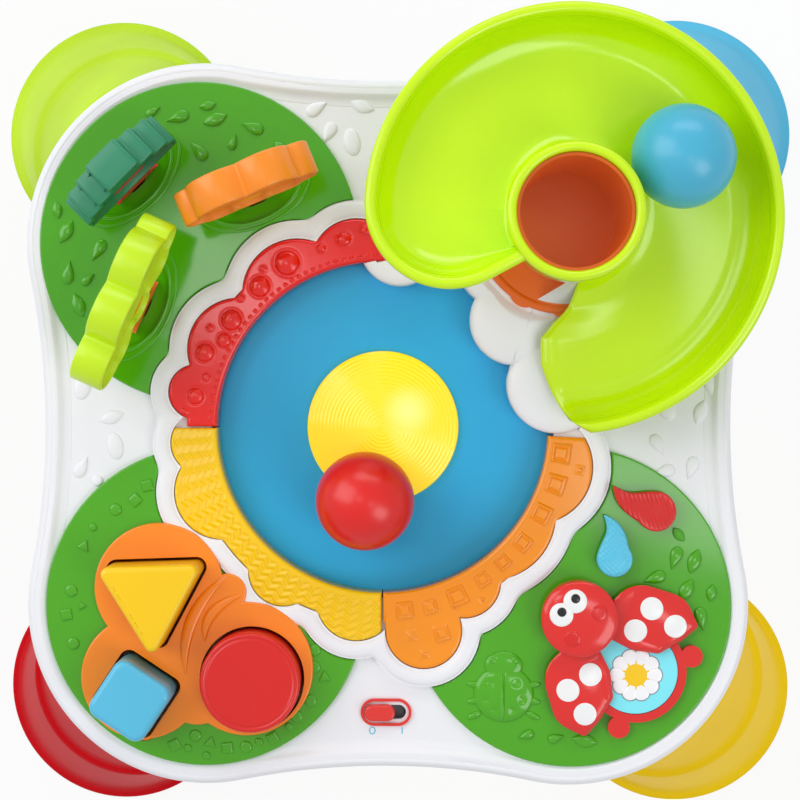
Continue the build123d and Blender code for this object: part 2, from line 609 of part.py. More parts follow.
def tree_trunk(name):
    """Hourglass trunk with a stem down to the hub on the pivot pin."""
    foot = TRUNK_FOOT
    waist = foot + TRUNK_WAIST_UP
    top = foot + TRUNK_HIGH
    half = [TRUNK_BASE / 2, TRUNK_WAIST / 2, TRUNK_TOP / 2]
    outline = [
        Line((-half[0], foot), (half[0], foot)),
        ThreePointArc((half[0], foot), (half[1] + 1.5, waist - 7), (half[1], waist)),
        ThreePointArc((half[1], waist), (half[1] + 1.2, waist + 7), (half[2], top)),
        Line((half[2], top), (-half[2], top)),
        ThreePointArc((-half[2], top), (-half[1] - 1.2, waist + 7), (-half[1], waist)),
        ThreePointArc((-half[1], waist), (-half[1] - 1.5, waist - 7), (-half[0], foot)),
    ]
    trunk = extrude(Plane.XZ * make_face(outline), TRUNK_THICK / 2, both=True)
    trunk += Box(TREE_STEM_WIDTH, TREE_STEM_DEPTH, foot, align=(Align.CENTER, Align.CENTER, Align.MIN))
    trunk += Rot(0, 90, 0) * Cylinder(TREE_HUB_RADIUS, TREE_STEM_WIDTH + 2 * (EAR_SIDE - SEAT_GAP))
    trunk -= Rot(0, 90, 0) * Cylinder(TREE_PIN_RADIUS + PIN_GAP, 3 * TREE_STEM_WIDTH)
    return tree_place(name) * trunk


def crown_plan(name):
    """Front outline of a crown: stepped pine, four-bump or wide wavy round crown."""
    width = TREES[name][3]
    low = TRUNK_FOOT + TRUNK_HIGH - CROWN_LAP
    high = TREE_PIVOT_DROP + TREE_HEIGHT
    middle = (low + high) / 2
    tall = (high - low) / 2
    if name == "pine":
        plan = Sketch()
        for share, rise in PINE_TIERS:
            plan += Pos(0, low + rise) * RectangleRounded(width * share, TIER_TALL, TIER_ROUND)
        return plan
    plan = Pos(0, low + tall * 0.75) * RectangleRounded(width * 0.7, tall * 1.5, tall * 0.4)
    for across, up, share in CROWN_BUMPS[name]:
        plan += Pos(across * width, middle + up * tall) * Circle(share * tall)
    return plan


def tree_crown(name):
    """Thick crown plate with a raised lip round each face, sitting over the trunk."""
    outline = crown_plan(name)
    crown = extrude(Plane.XZ * outline, TREE_THICK / 2, both=True)
    inner = offset(outline, -CROWN_LIP)
    for side in (-1, 1):
        crown -= Pos(0, side * TREE_THICK / 2, 0) * extrude(Plane.XZ * inner, CROWN_RECESS, both=True)
    return tree_place(name) * crown - grown_trunk(name)


def grown_trunk(name):
    """Pocket in the crown that the trunk's head is pressed into."""
    top = TRUNK_FOOT + TRUNK_HIGH
    pocket = Box(TRUNK_TOP + 2 * PIN_GAP, TRUNK_THICK + 2 * PIN_GAP, TRUNK_GRIP,
                 align=(Align.CENTER, Align.CENTER, Align.MAX))
    return tree_place(name) * Pos(0, 0, top) * pocket


def tree_pivot_pins():
    """Three steel pins that the trees rock on."""
    pins = []
    for name in TREES:
        length = TREE_STEM_WIDTH + 2 * (EAR_SIDE + EAR_THICK)
        pins.append(tree_place(name) * Rot(0, 90, 0) * Cylinder(TREE_PIN_RADIUS, length))
    return Compound(children=pins)


# ---------------------------------------------------------------- shape sorter
def triangle_plan(grow=0.0):
    """Rounded triangle, point down."""
    radius = (TRIANGLE_SIDE - 2 * TRIANGLE_CORNER * sqrt(3)) / sqrt(3)
    core = RegularPolygon(radius, 3, rotation=-90 + TRIANGLE_TURN)
    return Pos(*TRIANGLE_AT) * offset(core, TRIANGLE_CORNER + grow)


def square_plan(grow=0.0):
    """Rounded square."""
    side = SQUARE_SIDE + 2 * grow
    return Pos(*SQUARE_AT) * Rot(0, 0, SQUARE_TURN) * RectangleRounded(side, side, SQUARE_CORNER + grow)


def round_plan(grow=0.0):
    """Disc."""
    return Pos(*ROUND_AT) * Circle(ROUND_RADIUS + grow)


def well_plans(wall=0.0):
    """Outlines of the three wells, a clearance and an optional wall larger than the blocks."""
    return [shape(BLOCK_GAP + wall) for shape in (triangle_plan, square_plan, round_plan)]


def plate_plan(grow=0.0):
    """Outline of the sorter plate: one round lobe for each block, and small ones between."""
    plan = Sketch()
    for x, y, radius in PLATE_LOBES:
        plan += Pos(x, y) * Circle(radius + grow)
    return plan


def sorter_plate():
    """Raised three-lobed plate with a well under each of its holes."""
    body = fillet(top_edges(slab(plate_plan(), PANEL_TOP, PLATE_TOP)), PLATE_ROUND)
    for plan in well_plans(WELL_WALL):
        body += slab(plan, DECK_Z - WELL_DEPTH - WELL_WALL, PANEL_TOP)
    for plan in well_plans():
        body -= slab(plan, DECK_Z - WELL_DEPTH, PLATE_TOP + 1)
    return body


def sorter_panel():
    """Panel with room for the three wells."""
    body = panel(SORTER_PANEL_CENTRE)
    for plan in well_plans(WELL_WALL + SEAT_GAP):
        body -= slab(plan, DECK_Z - 1, PANEL_TOP + 1)
    return body


def block(shape, height):
    """Hollow play block, open below, rounded on top."""
    low = DECK_Z - WELL_DEPTH + SEAT_GAP
    body = fillet(top_edges(slab(shape(), low, low + height)), BLOCK_ROUND)
    return body - slab(shape(-BLOCK_WALL), low - 1, low + height - BLOCK_WALL)


# ---------------------------------------------------------------- garden panel
def garden_panel():
    """Panel with holes for the drop buttons and the head, and the wing pins' holes."""
    body = panel(GARDEN_PANEL_CENTRE)
    for tip, centre, radius in (RED_DROP, BLUE_DROP):
        body -= slab(Pos(*centre) * Circle(STEM_RADIUS + SLIDE_GAP), DECK_Z - 1, PANEL_TOP + 1)
    body -= disc(BUG_HEAD_AT, STEM_RADIUS + SLIDE_GAP, DECK_Z - 1, PANEL_TOP + 1)
    return body


def drop_button(drop, side):
    """Comma-shaped key with a round stem through the panel."""
    low = PANEL_TOP + BUTTON_TRAVEL + SEAT_GAP
    key = slab(comma(drop, side), low, PANEL_TOP + BUTTON_PROUD + 2)
    key = fillet(top_edges(key), KEY_ROUND)
    return key + disc(drop[1], STEM_RADIUS, DECK_Z - STEM_DROP, low)


def wing_pin_at(side):
    """Place of one wing's pin, under the back of the head and beside the centre line."""
    behind = polar(BUG_HEAD_AT, BUG_AXIS, BUG_HEAD_RADIUS - WING_PIN_INSET)
    return polar(behind, BUG_AXIS + 90 * side, WING_PIN_SIDE)


def ladybug_body():
    """Round red base with a seat for the disc, a neck under the head and feet at the sides."""
    top = PANEL_TOP + BUG_BODY_THICK
    plan = Pos(*BUG_BODY_AT) * Circle(BUG_BODY_RADIUS)
    for side in (-1, 1):
        plan += make_hull((Pos(*wing_pin_at(side)) * Circle(WING_BOSS_RADIUS)).edges()
                          + (Pos(*BUG_BODY_AT) * Circle(WING_BOSS_RADIUS)).edges())
        foot = polar(BUG_BODY_AT, BUG_AXIS, BUG_FOOT_ALONG)
        plan += Pos(*polar(foot, BUG_AXIS + 90 * side, BUG_BODY_RADIUS)) * Circle(BUG_FOOT_RADIUS)
    body = slab(plan, PANEL_TOP, top)
    body -= disc(BUG_BODY_AT, BUG_DISC_RADIUS + SEAT_GAP, top - 2, top + 1)
    for side in (-1, 1):
        body += disc(wing_pin_at(side), WING_BOSS_RADIUS, PANEL_TOP, top)
        body -= disc(wing_pin_at(side), WING_PIN_RADIUS, PANEL_TOP - 1, top + 1)
    return body - disc(BUG_HEAD_AT, STEM_RADIUS + SLIDE_GAP, PANEL_TOP - 1, top + 1)


def daisy_disc():
    """Pale blue disc under the wings."""
    top = PANEL_TOP + BUG_BODY_THICK
    body = disc(BUG_BODY_AT, BUG_DISC_RADIUS, top - 2, top - 0.5)
    for side in (-1, 1):
        body -= disc(wing_pin_at(side), WING_BOSS_RADIUS + SEAT_GAP, top - 3, top)
    return body


def daisy():
    """Flower on the disc: a ring of round petals about a raised middle."""
    top = PANEL_TOP + BUG_BODY_THICK
    plan = Circle(DAISY_EYE_RADIUS + 2)
    petal = Pos(DAISY_RADIUS - PETAL_LONG, 0) * Ellipse(PETAL_LONG, PETAL_WIDE)
    for index in range(DAISY_PETALS):
        plan += Rot(0, 0, 360 * index / DAISY_PETALS) * petal
    flower = slab(Pos(*DAISY_AT) * plan, top - 0.5, top - 0.1)
    return flower + disc(DAISY_AT, DAISY_EYE_RADIUS, top - 0.5, top)


def ladybug_head():
    """Round head that is pressed like a key, cut away over the ends of the wings."""
    low = PANEL_TOP + BUTTON_TRAVEL + SEAT_GAP
    wing_top = PANEL_TOP + BUG_BODY_THICK + SEAT_GAP + WING_THICK
    head = disc(BUG_HEAD_AT, BUG_HEAD_RADIUS, low, PANEL_TOP + HEAD_PROUD)
    head = fillet(top_edges(head), HEAD_ROUND)
    back = Pos(BUG_HEAD_RADIUS, 0, 0) * Box(
        2 * (BUG_HEAD_RADIUS - HEAD_STEM_FRONT), 60, 40, align=(Align.CENTER, Align.CENTER, Align.MAX))
    head -= Pos(*BUG_HEAD_AT, wing_top + BUTTON_TRAVEL + SEAT_GAP) * Rot(0, 0, BUG_AXIS) * back
    return head + disc(BUG_HEAD_AT, STEM_RADIUS, DECK_Z - STEM_DROP, low + 1)


def eye_plan(grow=0.0):
    """Two round eyes side by side at the front of the head."""
    plan = Sketch()
    for side in (-1, 1):
        front = polar(BUG_HEAD_AT, BUG_AXIS + 180, EYE_FORWARD)
        plan += Pos(*polar(front, BUG_AXIS + 90 * side, EYE_APART)) * Circle(EYE_RADIUS + grow)
    return plan


def ladybug_eyes():
    """White eyes on the head."""
    top = PANEL_TOP + HEAD_PROUD
    return slab(eye_plan(), top, top + EYE_THICK)


def ladybug_pupils():
    """Dark middles of the eyes."""
    top = PANEL_TOP + HEAD_PROUD + EYE_THICK
    return slab(eye_plan(PUPIL_RADIUS - EYE_RADIUS), top, top + 0.4)


def wing_frame(side):
    """Local frame of a wing: x along its straight edge, origin on its pin at its underside."""
    base = PANEL_TOP + BUG_BODY_THICK + SEAT_GAP
    return Pos(*wing_pin_at(side), base) * Rot(0, 0, BUG_AXIS + side * WING_OPEN)


def wing_plan(side):
    """Wing drawn round its hub, its full outer edge, its far corner and its straight inner edge."""
    inner = WING_HALF_GAP - WING_PIN_SIDE
    edges = []
    for along, out, radius in WING_ROUNDS:
        edges += (Pos(along, side * (inner + out)) * Circle(radius)).edges()
    return make_hull(edges)


def wing(side):
    """Flat wing with a rounded edge, bored for its pin."""
    plate = extrude(wing_plan(side), WING_THICK)
    plate = fillet(top_edges(plate), 1.0)
    plate -= Cylinder(WING_PIN_RADIUS + PIN_GAP, 3 * WING_THICK)
    return wing_frame(side) * plate


def wing_spots(side):
    """Three round white spots on a wing."""
    plan = Sketch()
    for x, y in SPOT_PLACES:
        plan += Pos(x, side * y) * Circle(SPOT_RADIUS)
    return wing_frame(side) * slab(plan, WING_THICK, WING_THICK + SPOT_THICK)


def wing_pins():
    """Two pins that the wings turn on."""
    top = PANEL_TOP + BUG_BODY_THICK + SEAT_GAP + WING_THICK
    pins = [disc(wing_pin_at(side), WING_PIN_RADIUS, PANEL_TOP, top) for side in (-1, 1)]
    return Compound(children=pins)


# ---------------------------------------------------------------- tower
def tower_base():
    """Low white cloud of round-shouldered puffs, reaching into the play well."""
    cloud = Part()
    for x, y, radius in CLOUD_LOBES:
        cloud += fillet(top_edges(disc((x, y), radius, DECK_Z, DECK_Z + CLOUD_HEIGHT)), CLOUD_ROUND)
    well = Pos(*PLAY_CENTRE) * Circle(PLAY_RADIUS + ARC_WALL)
    cloud += slab(cloud_plan() & well, FLOOR_Z, DECK_Z)
    return cloud - slab(cloud_cut(), FLOOR_Z - 1, DECK_Z + CLOUD_HEIGHT + 1)


def exit_way(radius, low):
    """Round-topped passage from the tower's axis out towards the play well."""
    axis_z = low + radius
    bore = Pos(*TOWER, axis_z) * Rot(0, 0, EXIT_ANGLE) * Rot(0, 90, 0) * Cylinder(
        radius, 120, align=(Align.CENTER, Align.CENTER, Align.MIN))
    way = Pos(*TOWER, low) * Rot(0, 0, EXIT_ANGLE) * Box(
        120, 2 * radius, radius, align=(Align.MIN, Align.CENTER, Align.MIN))
    return bore + way


def column_skin(grow=0.0):
    """Solid outside of the column, flared at its foot."""
    low = DECK_Z + CLOUD_HEIGHT + CHUTE_FLOOR
    neck = low + COLUMN_FLARE
    outer = TUBE_OUTER - SEAT_GAP + grow
    foot = COLUMN_FOOT + grow
    profile = make_face([
        Line((0, low), (foot, low)),
        ThreePointArc((foot, low), (outer + 2.2, low + COLUMN_FLARE * 0.45), (outer, neck)),
        Line((outer, neck), (outer, DECK_Z + COLUMN_HEIGHT)),
        Line((outer, DECK_Z + COLUMN_HEIGHT), (0, DECK_Z + COLUMN_HEIGHT)),
        Line((0, DECK_Z + COLUMN_HEIGHT), (0, low)),
    ])
    return Pos(*TOWER) * revolve(Plane.XZ * profile, Axis.Z)


def tower_column():
    """White column with a flared foot and an arch where the ball rolls out."""
    low = DECK_Z + CLOUD_HEIGHT + CHUTE_FLOOR
    column = column_skin() - disc(TOWER, TUBE_INNER, low - 1, DECK_Z + COLUMN_HEIGHT + 1)
    return column - exit_way(EXIT_RADIUS + SEAT_GAP, low - 1)


def ball_chute():
    """Orange tube inside the tower on a wavy flange that carries the ball out of the arch."""
    low = DECK_Z + CLOUD_HEIGHT
    outer = TUBE_INNER - SEAT_GAP
    flange = Circle(CHUTE_FLANGE)
    for index in range(CHUTE_WAVES):
        place = polar((0, 0), 360 * index / CHUTE_WAVES, CHUTE_WAVE_REACH - CHUTE_WAVE_RADIUS)
        flange += Pos(*place) * Circle(CHUTE_WAVE_RADIUS)
    tube = disc(TOWER, outer, low, DECK_Z + CHUTE_TOP)
    tube -= disc(TOWER, outer - CHUTE_WALL, low + CHUTE_FLOOR, DECK_Z + CHUTE_TOP + 1)
    tube -= exit_way(EXIT_RADIUS, low + CHUTE_FLOOR)
    return tube + slab(Pos(*TOWER) * flange, low, low + CHUTE_FLOOR)


# ---------------------------------------------------------------- spiral slide
def slide_level(angle):
    """Height of the channel floor at an angle: level at the landing, then an even fall."""
    share = max(0.0, (SLIDE_START - angle) / (SLIDE_START - SLIDE_END))
    return DECK_Z + SLIDE_TOP + (SLIDE_LOW - SLIDE_TOP) * share


def slide_outer(angle):
    """Outer radius of the channel, growing a little on the way down."""
    share = max(0.0, (SLIDE_START - angle) / (SLIDE_START - SLIDE_END))
    return SLIDE_OUTER_TOP + (SLIDE_OUTER_LOW - SLIDE_OUTER_TOP) * share


def wall_outline(outer, floor):
    """Edges of the curved side wall and its rolled rim, from the floor's top to its underside."""
    foot = outer - SLIDE_BEAD - SLIDE_SWEEP
    inner = outer - SLIDE_BEAD
    rim = floor + SLIDE_SIDE
    under = rim - 5
    return [
        ThreePointArc((foot, floor), (foot + SLIDE_SWEEP * 0.72, floor + SLIDE_SIDE * 0.30), (inner, rim)),
        ThreePointArc((inner, rim), (outer - SLIDE_BEAD / 2, rim + SLIDE_BEAD / 2), (outer, rim)),
        Line((outer, rim), (outer - 0.6, under)),
        Line((outer - 0.6, under), (outer - 3.2, under)),
        ThreePointArc((outer - 3.2, under), (foot + SLIDE_SWEEP * 0.80, floor + 2.4), (foot, floor - SLIDE_WALL)),
    ]


def channel_section(angle):
    """Closed section of the channel in the upright plane at an angle."""
    floor = slide_level(angle)
    outer = slide_outer(angle)
    foot = outer - SLIDE_BEAD - SLIDE_SWEEP
    curb = TUBE_OUTER - 1.0
    edges = wall_outline(outer, floor)
    edges += [
        Line((foot, floor - SLIDE_WALL), (curb, floor - SLIDE_WALL)),
        Line((curb, floor - SLIDE_WALL), (curb, floor + CURB_HEIGHT)),
        Line((curb, floor + CURB_HEIGHT), (curb + 3.5, floor + CURB_HEIGHT)),
        ThreePointArc((curb + 3.5, floor + CURB_HEIGHT), (curb + 5.5, floor + 3.4), (curb + 13, floor)),
        Line((curb + 13, floor), (foot, floor)),
    ]
    face = make_face(edges)
    return Pos(*TOWER) * Rot(0, 0, angle) * (Plane.XZ * face)


def slide_run():
    """Falling part of the channel, lofted through sections turned about the tower."""
    steps = 12
    sections = []
    for index in range(steps + 1):
        sections.append(channel_section(SLIDE_START + (SLIDE_END - SLIDE_START) * index / steps))
    run = loft(sections)
    half = (SLIDE_OUTER_LOW - TUBE_OUTER) / 2
    beyond = [TOWER] + [polar(TOWER, LIP_ANGLE - turn, BEYOND) for turn in (0, 27, 53, 80)]
    cut = make_face(Polyline(*beyond, close=True))
    cut -= Pos(*polar(TOWER, LIP_ANGLE, TUBE_OUTER + half)) * Circle(half)
    return run - slab(cut, DECK_Z, DECK_Z + SLIDE_TOP)


def landing():
    """Level landing: floor plate, round corner wall and the straight wall in to the tube."""
    floor = DECK_Z + SLIDE_TOP
    foot = -SLIDE_BEAD - SLIDE_SWEEP
    centre = polar(TOWER, SLIDE_START, SLIDE_OUTER_TOP - LANDING_CORNER)
    edges = wall_outline(0.0, floor) + [Line((foot, floor - SLIDE_WALL), (foot, floor))]
    section = Plane.XZ * make_face(edges)
    end_turn = LANDING_EDGE + 270
    corner = revolve(Pos(LANDING_CORNER, 0, 0) * section, Axis.Z, end_turn - SLIDE_START)
    corner = Pos(*centre) * Rot(0, 0, SLIDE_START) * corner
    length = SLIDE_OUTER_TOP - LANDING_CORNER - TUBE_INNER - 5
    straight = extrude(Plane.XZ * make_face(edges), -length)
    straight = Pos(*polar(centre, end_turn, LANDING_CORNER)) * Rot(0, 0, end_turn) * straight
    inner = LANDING_CORNER + foot + LANDING_LAP
    near = polar(centre, end_turn, inner)
    plate = make_face(Polyline(TOWER, polar(centre, SLIDE_START, inner), centre, near,
                               polar(near, LANDING_EDGE, length), close=True))
    plate += Pos(*centre) * Circle(inner) & half_plane(SLIDE_START)
    return slab(plate, floor - SLIDE_WALL, floor) + corner + straight


def half_plane(angle):
    """Large square on the far side of a line through the tower at an angle."""
    return Pos(*TOWER) * Rot(0, 0, angle) * Pos(0, BEYOND) * Rectangle(2 * BEYOND, 2 * BEYOND)


def spiral_slide():
    """Lime slide: upper tube, level landing and the falling channel in one moulding."""
    whole = disc(TOWER, TUBE_OUTER, DECK_Z + COLUMN_HEIGHT, DECK_Z + TOWER_TOP) + landing() + slide_run()
    whole -= disc(TOWER, TUBE_INNER, DECK_Z + COLUMN_HEIGHT - 1, DECK_Z + TOWER_TOP + 1)
    whole -= column_skin(SEAT_GAP)
    return whole - exit_way(EXIT_RADIUS, DECK_Z + CLOUD_HEIGHT + CHUTE_FLOOR)


# ---------------------------------------------------------------- balls
def blue_ball():
    """Ball resting in the slide's channel."""
    x, y = polar(TOWER, BLUE_BALL_ANGLE, BLUE_BALL_REACH)
    fall = (SLIDE_TOP - SLIDE_LOW) / (radians(SLIDE_START - SLIDE_END) * BLUE_BALL_REACH)
    lift = (BALL_RADIUS + SEAT_GAP) * sqrt(1 + fall ** 2)
    return Pos(x, y, slide_level(BLUE_BALL_ANGLE) + lift) * Sphere(BALL_RADIUS)


def red_ball():
    """Ball standing on the light dome."""
    aside = hypot(RED_BALL_AT[0] - PLAY_X, RED_BALL_AT[1] - PLAY_Y)
    apart = LENS_BALL + BALL_RADIUS + SEAT_GAP
    height = FLOOR_Z + DOME_HEIGHT - LENS_BALL + sqrt(apart ** 2 - aside ** 2)
    return Pos(*RED_BALL_AT, height) * Sphere(BALL_RADIUS)


# ---------------------------------------------------------------- switch
def switch_bezel():
    """Oval red surround let into the deck."""
    plan = SlotOverall(SWITCH_LENGTH + 3, SWITCH_WIDTH + 3) - SlotOverall(SWITCH_LENGTH, SWITCH_WIDTH)
    return slab(Pos(*SWITCH_AT) * plan, DECK_Z, DECK_Z + 1.5)


def switch_knob():
    """Knob at the off end of its slot."""
    at = Pos(SWITCH_AT[0] - SWITCH_TRAVEL / 2, SWITCH_AT[1])
    knob = slab(at * SlotOverall(KNOB_LENGTH, KNOB_WIDTH), DECK_Z + SEAT_GAP, DECK_Z + 5)
    knob = fillet(top_edges(knob), 1.5)
    return knob + slab(at * Rectangle(6, 5), DECK_Z - 8, DECK_Z + SEAT_GAP)


def switch_body():
    """Slide switch under the deck that the knob's tongue moves."""
    return Pos(SWITCH_AT[0], SWITCH_AT[1], DECK_Z - STEM_DROP - SEAT_GAP) * Box(
        20, 10, 6, align=(Align.CENTER, Align.CENTER, Align.MAX))


# ---------------------------------------------------------------- inside the table
def key_plan():
    """Outline of the small board under the three keys."""
    edges = []
    for centre in (BUG_HEAD_AT, RED_DROP[1], BLUE_DROP[1]):
        edges += (Pos(*centre) * Circle(PAD_RADIUS + 4)).edges()
    return make_hull(edges)


def key_board():
    """Switch board under the garden panel."""
    top = DECK_Z - STEM_DROP - PAD_HEIGHT
    return slab(key_plan(), top - BOARD_THICK, top)


def key_pad(centre):
    """Rubber dome that returns a key."""
    top = DECK_Z - STEM_DROP
    profile = make_face(Polyline((0, top), (3.5, top), (PAD_RADIUS, top - PAD_HEIGHT),
                                 (PAD_RADIUS - 1.2, top - PAD_HEIGHT), (2.5, top - 1.2), (0, top - 1.2),
                                 close=True))
    return Pos(*centre) * revolve(Plane.XZ * profile, Axis.Z)


def lamp_board():
    """Round board under the lens."""
    top = FLOOR_Z - PLAY_FLOOR - LENS_SKIRT
    return disc(PLAY_CENTRE, DOME_RADIUS - LENS_LEDGE - SEAT_GAP, top - BOARD_THICK, top)


def lamps():
    """Three small lamps on the round board."""
    top = FLOOR_Z - PLAY_FLOOR - LENS_SKIRT
    lights = []
    for index in range(3):
        at = polar(PLAY_CENTRE, 120 * index, 12)
        lights.append(fillet(top_edges(disc(at, 2.5, top, top + 4.5)), 1.5))
    return Compound(children=lights)


def battery_place():
    """Local frame of the battery box, on the inside of the base."""
    return Pos(*BATTERY_AT, BASE_Z)


def battery_door():
    """Cover let into the base, flush with its underside."""
    width, depth = BATTERY_SIZE
    door = Box(width - 2 * SEAT_GAP, depth - 2 * SEAT_GAP, DECK_WALL,
               align=(Align.CENTER, Align.CENTER, Align.MIN))
    door -= Pos(0, depth / 2 - 6, 0) * Cylinder(SCREW_RADIUS + SEAT_GAP, 20)
    return battery_place() * door


def door_screw():
    """Captive screw of the battery door."""
    depth = BATTERY_SIZE[1]
    screw = Cylinder(SCREW_RADIUS, 9, align=(Align.CENTER, Align.CENTER, Align.MIN))
    return battery_place() * Pos(0, depth / 2 - 6, 0) * screw


def battery_box():
    """Box over the cells, standing on the base round the door."""
    width, depth = BATTERY_SIZE
    high = BATTERY_HEIGHT
    box = Pos(0, 0, DECK_WALL) * Box(width + 6, depth + 6, high, align=(Align.CENTER, Align.CENTER, Align.MIN))
    room = Box(width - 2, depth - 2, high - 1, align=(Align.CENTER, Align.CENTER, Align.MIN))
    box -= Pos(0, 0, DECK_WALL - 1) * room
    post = Cylinder(SCREW_POST, high - 2, align=(Align.CENTER, Align.CENTER, Align.MIN))
    post -= Cylinder(SCREW_RADIUS + PIN_GAP, 3 * high)
    return battery_place() * (box + Pos(0, depth / 2 - 6, DECK_WALL) * post)


def battery_cells():
    """Three cells side by side."""
    cells = []
    for index in (-1, 0, 1):
        cell = Rot(90, 0, 0) * Cylinder(CELL_RADIUS, CELL_LENGTH)
        at = Pos(index * CELL_PITCH, -6, DECK_WALL + CELL_RADIUS + SEAT_GAP)
        cells.append(battery_place() * at * cell)
    return Compound(children=cells)


def battery_contacts():
    """Contact plates at the two ends of the cells."""
    plates = []
    for side in (-1, 1):
        plate = Box(3 * CELL_PITCH - 2, 0.6, 11)
        at = Pos(0, -6 + side * (CELL_LENGTH / 2 + 0.5), DECK_WALL + CELL_RADIUS + SEAT_GAP)
        plates.append(battery_place() * at * plate)
    return Compound(children=plates)


def circuit_board():
    """Main board on four posts of the base."""
    width, depth = BOARD_SIZE
    board = Pos(*BOARD_AT, BASE_Z + DECK_WALL + BOARD_POST) * Box(
        width, depth, BOARD_THICK, align=(Align.CENTER, Align.CENTER, Align.MIN))
    chip = Pos(*BOARD_AT, BASE_Z + DECK_WALL + BOARD_POST + BOARD_THICK) * Box(
        16, 16, 2, align=(Align.CENTER, Align.CENTER, Align.MIN))
    return board + chip


def speaker():
    """Round speaker over the grille in the base."""
    base = BASE_Z + DECK_WALL
    body = disc(SPEAKER_AT, SPEAKER_RADIUS, base, base + 4)
    return body + disc(SPEAKER_AT, SPEAKER_RADIUS * 0.55, base + 4, base + 13)


def screw_places():
    """Eight places where the two shells are screwed together."""
    places = []
    for sx, sy in QUADRANTS.values():
        places += [(sx * SCREW_NEAR, sy * SCREW_FAR), (sx * SCREW_FAR, sy * SCREW_NEAR)]
    return places


def screws():
    """Screws from below, through the base's posts and into the deck's, and the battery door's."""
    pieces = [door_screw()]
    for at in screw_places():
        head = disc(at, SCREW_HEAD, BASE_Z + 2, BASE_Z + 4)
        pieces.append(head + disc(at, SCREW_RADIUS, BASE_Z + 4, SEAM_Z + 14))
    return Compound(children=pieces)


# ---------------------------------------------------------------- write the parts
def sub_parts():
    """Every node's name and its solid."""
    parts = {
        "top_shell": top_shell(),
        "bottom_shell": bottom_shell(),
        "play_floor": play_floor(),
        "light_dome": light_dome(),
        "red_bubble_arc": red_bubble_arc(),
        "yellow_wave_arc": yellow_wave_arc(),
        "orange_square_arc": orange_square_arc(),
        "tower_base": tower_base(),
        "tower_column": tower_column(),
        "ball_chute": ball_chute(),
        "spiral_slide": spiral_slide(),
        "tree_panel": tree_panel(),
        "sorter_panel": sorter_panel(),
        "garden_panel": garden_panel(),
        "sorter_plate": sorter_plate(),
        "ladybug_body": ladybug_body(),
        "daisy_disc": daisy_disc(),
        "daisy": daisy(),
        "ladybug_head": ladybug_head(),
        "ladybug_eyes": ladybug_eyes(),
        "ladybug_pupils": ladybug_pupils(),
        "wing_spots_left": wing_spots(-1),
        "wing_spots_right": wing_spots(1),
        "wing_left": wing(-1),
        "wing_right": wing(1),
        "wing_pins": wing_pins(),
        "red_drop_button": drop_button(RED_DROP, -1),
        "blue_drop_button": drop_button(BLUE_DROP, 1),
        "triangle_block": block(triangle_plan, TRIANGLE_HEIGHT),
        "square_block": block(square_plan, SQUARE_HEIGHT),
        "round_block": block(round_plan, ROUND_HEIGHT),
        "blue_ball": blue_ball(),
        "red_ball": red_ball(),
        "switch_bezel": switch_bezel(),
        "switch_knob": switch_knob(),
        "switch_body": switch_body(),
        "tree_pivot_pins": tree_pivot_pins(),
        "key_board": key_board(),
        "head_pad": key_pad(BUG_HEAD_AT),
        "red_drop_pad": key_pad(RED_DROP[1]),
        "blue_drop_pad": key_pad(BLUE_DROP[1]),
        "lamp_board": lamp_board(),
        "lamps": lamps(),
        "battery_door": battery_door(),
        "battery_box": battery_box(),
        "battery_cells": battery_cells(),
        "battery_contacts": battery_contacts(),
        "circuit_board": circuit_board(),
        "speaker": speaker(),
        "screws": screws(),
    }
    for name in TREES:
        parts[name + "_trunk"] = tree_trunk(name)
        parts[name + "_crown"] = tree_crown(name)
    for name, (sx, sy) in QUADRANTS.items():
        parts["leg_" + name] = leg(sx, sy)
    return parts


if __name__ == "__main__":
    os.makedirs("parts", exist_ok=True)
    for node, solid in sub_parts().items():
        export_step(solid, os.path.join("parts", node + ".step"))
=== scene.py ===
import json

import bpy
import numpy as np
from mathutils import Matrix, Vector


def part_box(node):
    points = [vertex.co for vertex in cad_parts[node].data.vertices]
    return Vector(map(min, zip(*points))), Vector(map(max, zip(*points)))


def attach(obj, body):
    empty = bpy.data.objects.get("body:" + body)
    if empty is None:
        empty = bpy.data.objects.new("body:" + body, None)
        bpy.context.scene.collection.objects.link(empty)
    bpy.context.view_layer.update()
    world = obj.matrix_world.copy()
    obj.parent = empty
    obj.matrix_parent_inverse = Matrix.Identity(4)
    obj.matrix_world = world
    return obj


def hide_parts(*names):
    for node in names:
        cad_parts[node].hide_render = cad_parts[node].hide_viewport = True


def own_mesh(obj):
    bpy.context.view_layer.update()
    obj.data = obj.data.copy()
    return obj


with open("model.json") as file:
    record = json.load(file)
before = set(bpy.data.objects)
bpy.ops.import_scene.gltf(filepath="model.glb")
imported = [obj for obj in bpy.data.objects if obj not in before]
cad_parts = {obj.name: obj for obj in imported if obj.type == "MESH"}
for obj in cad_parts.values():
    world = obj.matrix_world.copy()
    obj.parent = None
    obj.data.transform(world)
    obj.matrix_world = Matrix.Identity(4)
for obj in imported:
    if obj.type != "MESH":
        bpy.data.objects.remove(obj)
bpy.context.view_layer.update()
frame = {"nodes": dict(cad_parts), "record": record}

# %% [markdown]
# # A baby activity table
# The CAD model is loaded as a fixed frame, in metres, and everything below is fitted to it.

scene = bpy.context.scene

# %% [markdown]
# ## Camera
# The table is seen from almost straight above.  A camera could be turned by three angles, but aiming it
# at a point on the deck is easier to read: the line between the two points is its view axis, and two
# cross products give its right and its up.  A long lens keeps the tall slide from spreading too much.

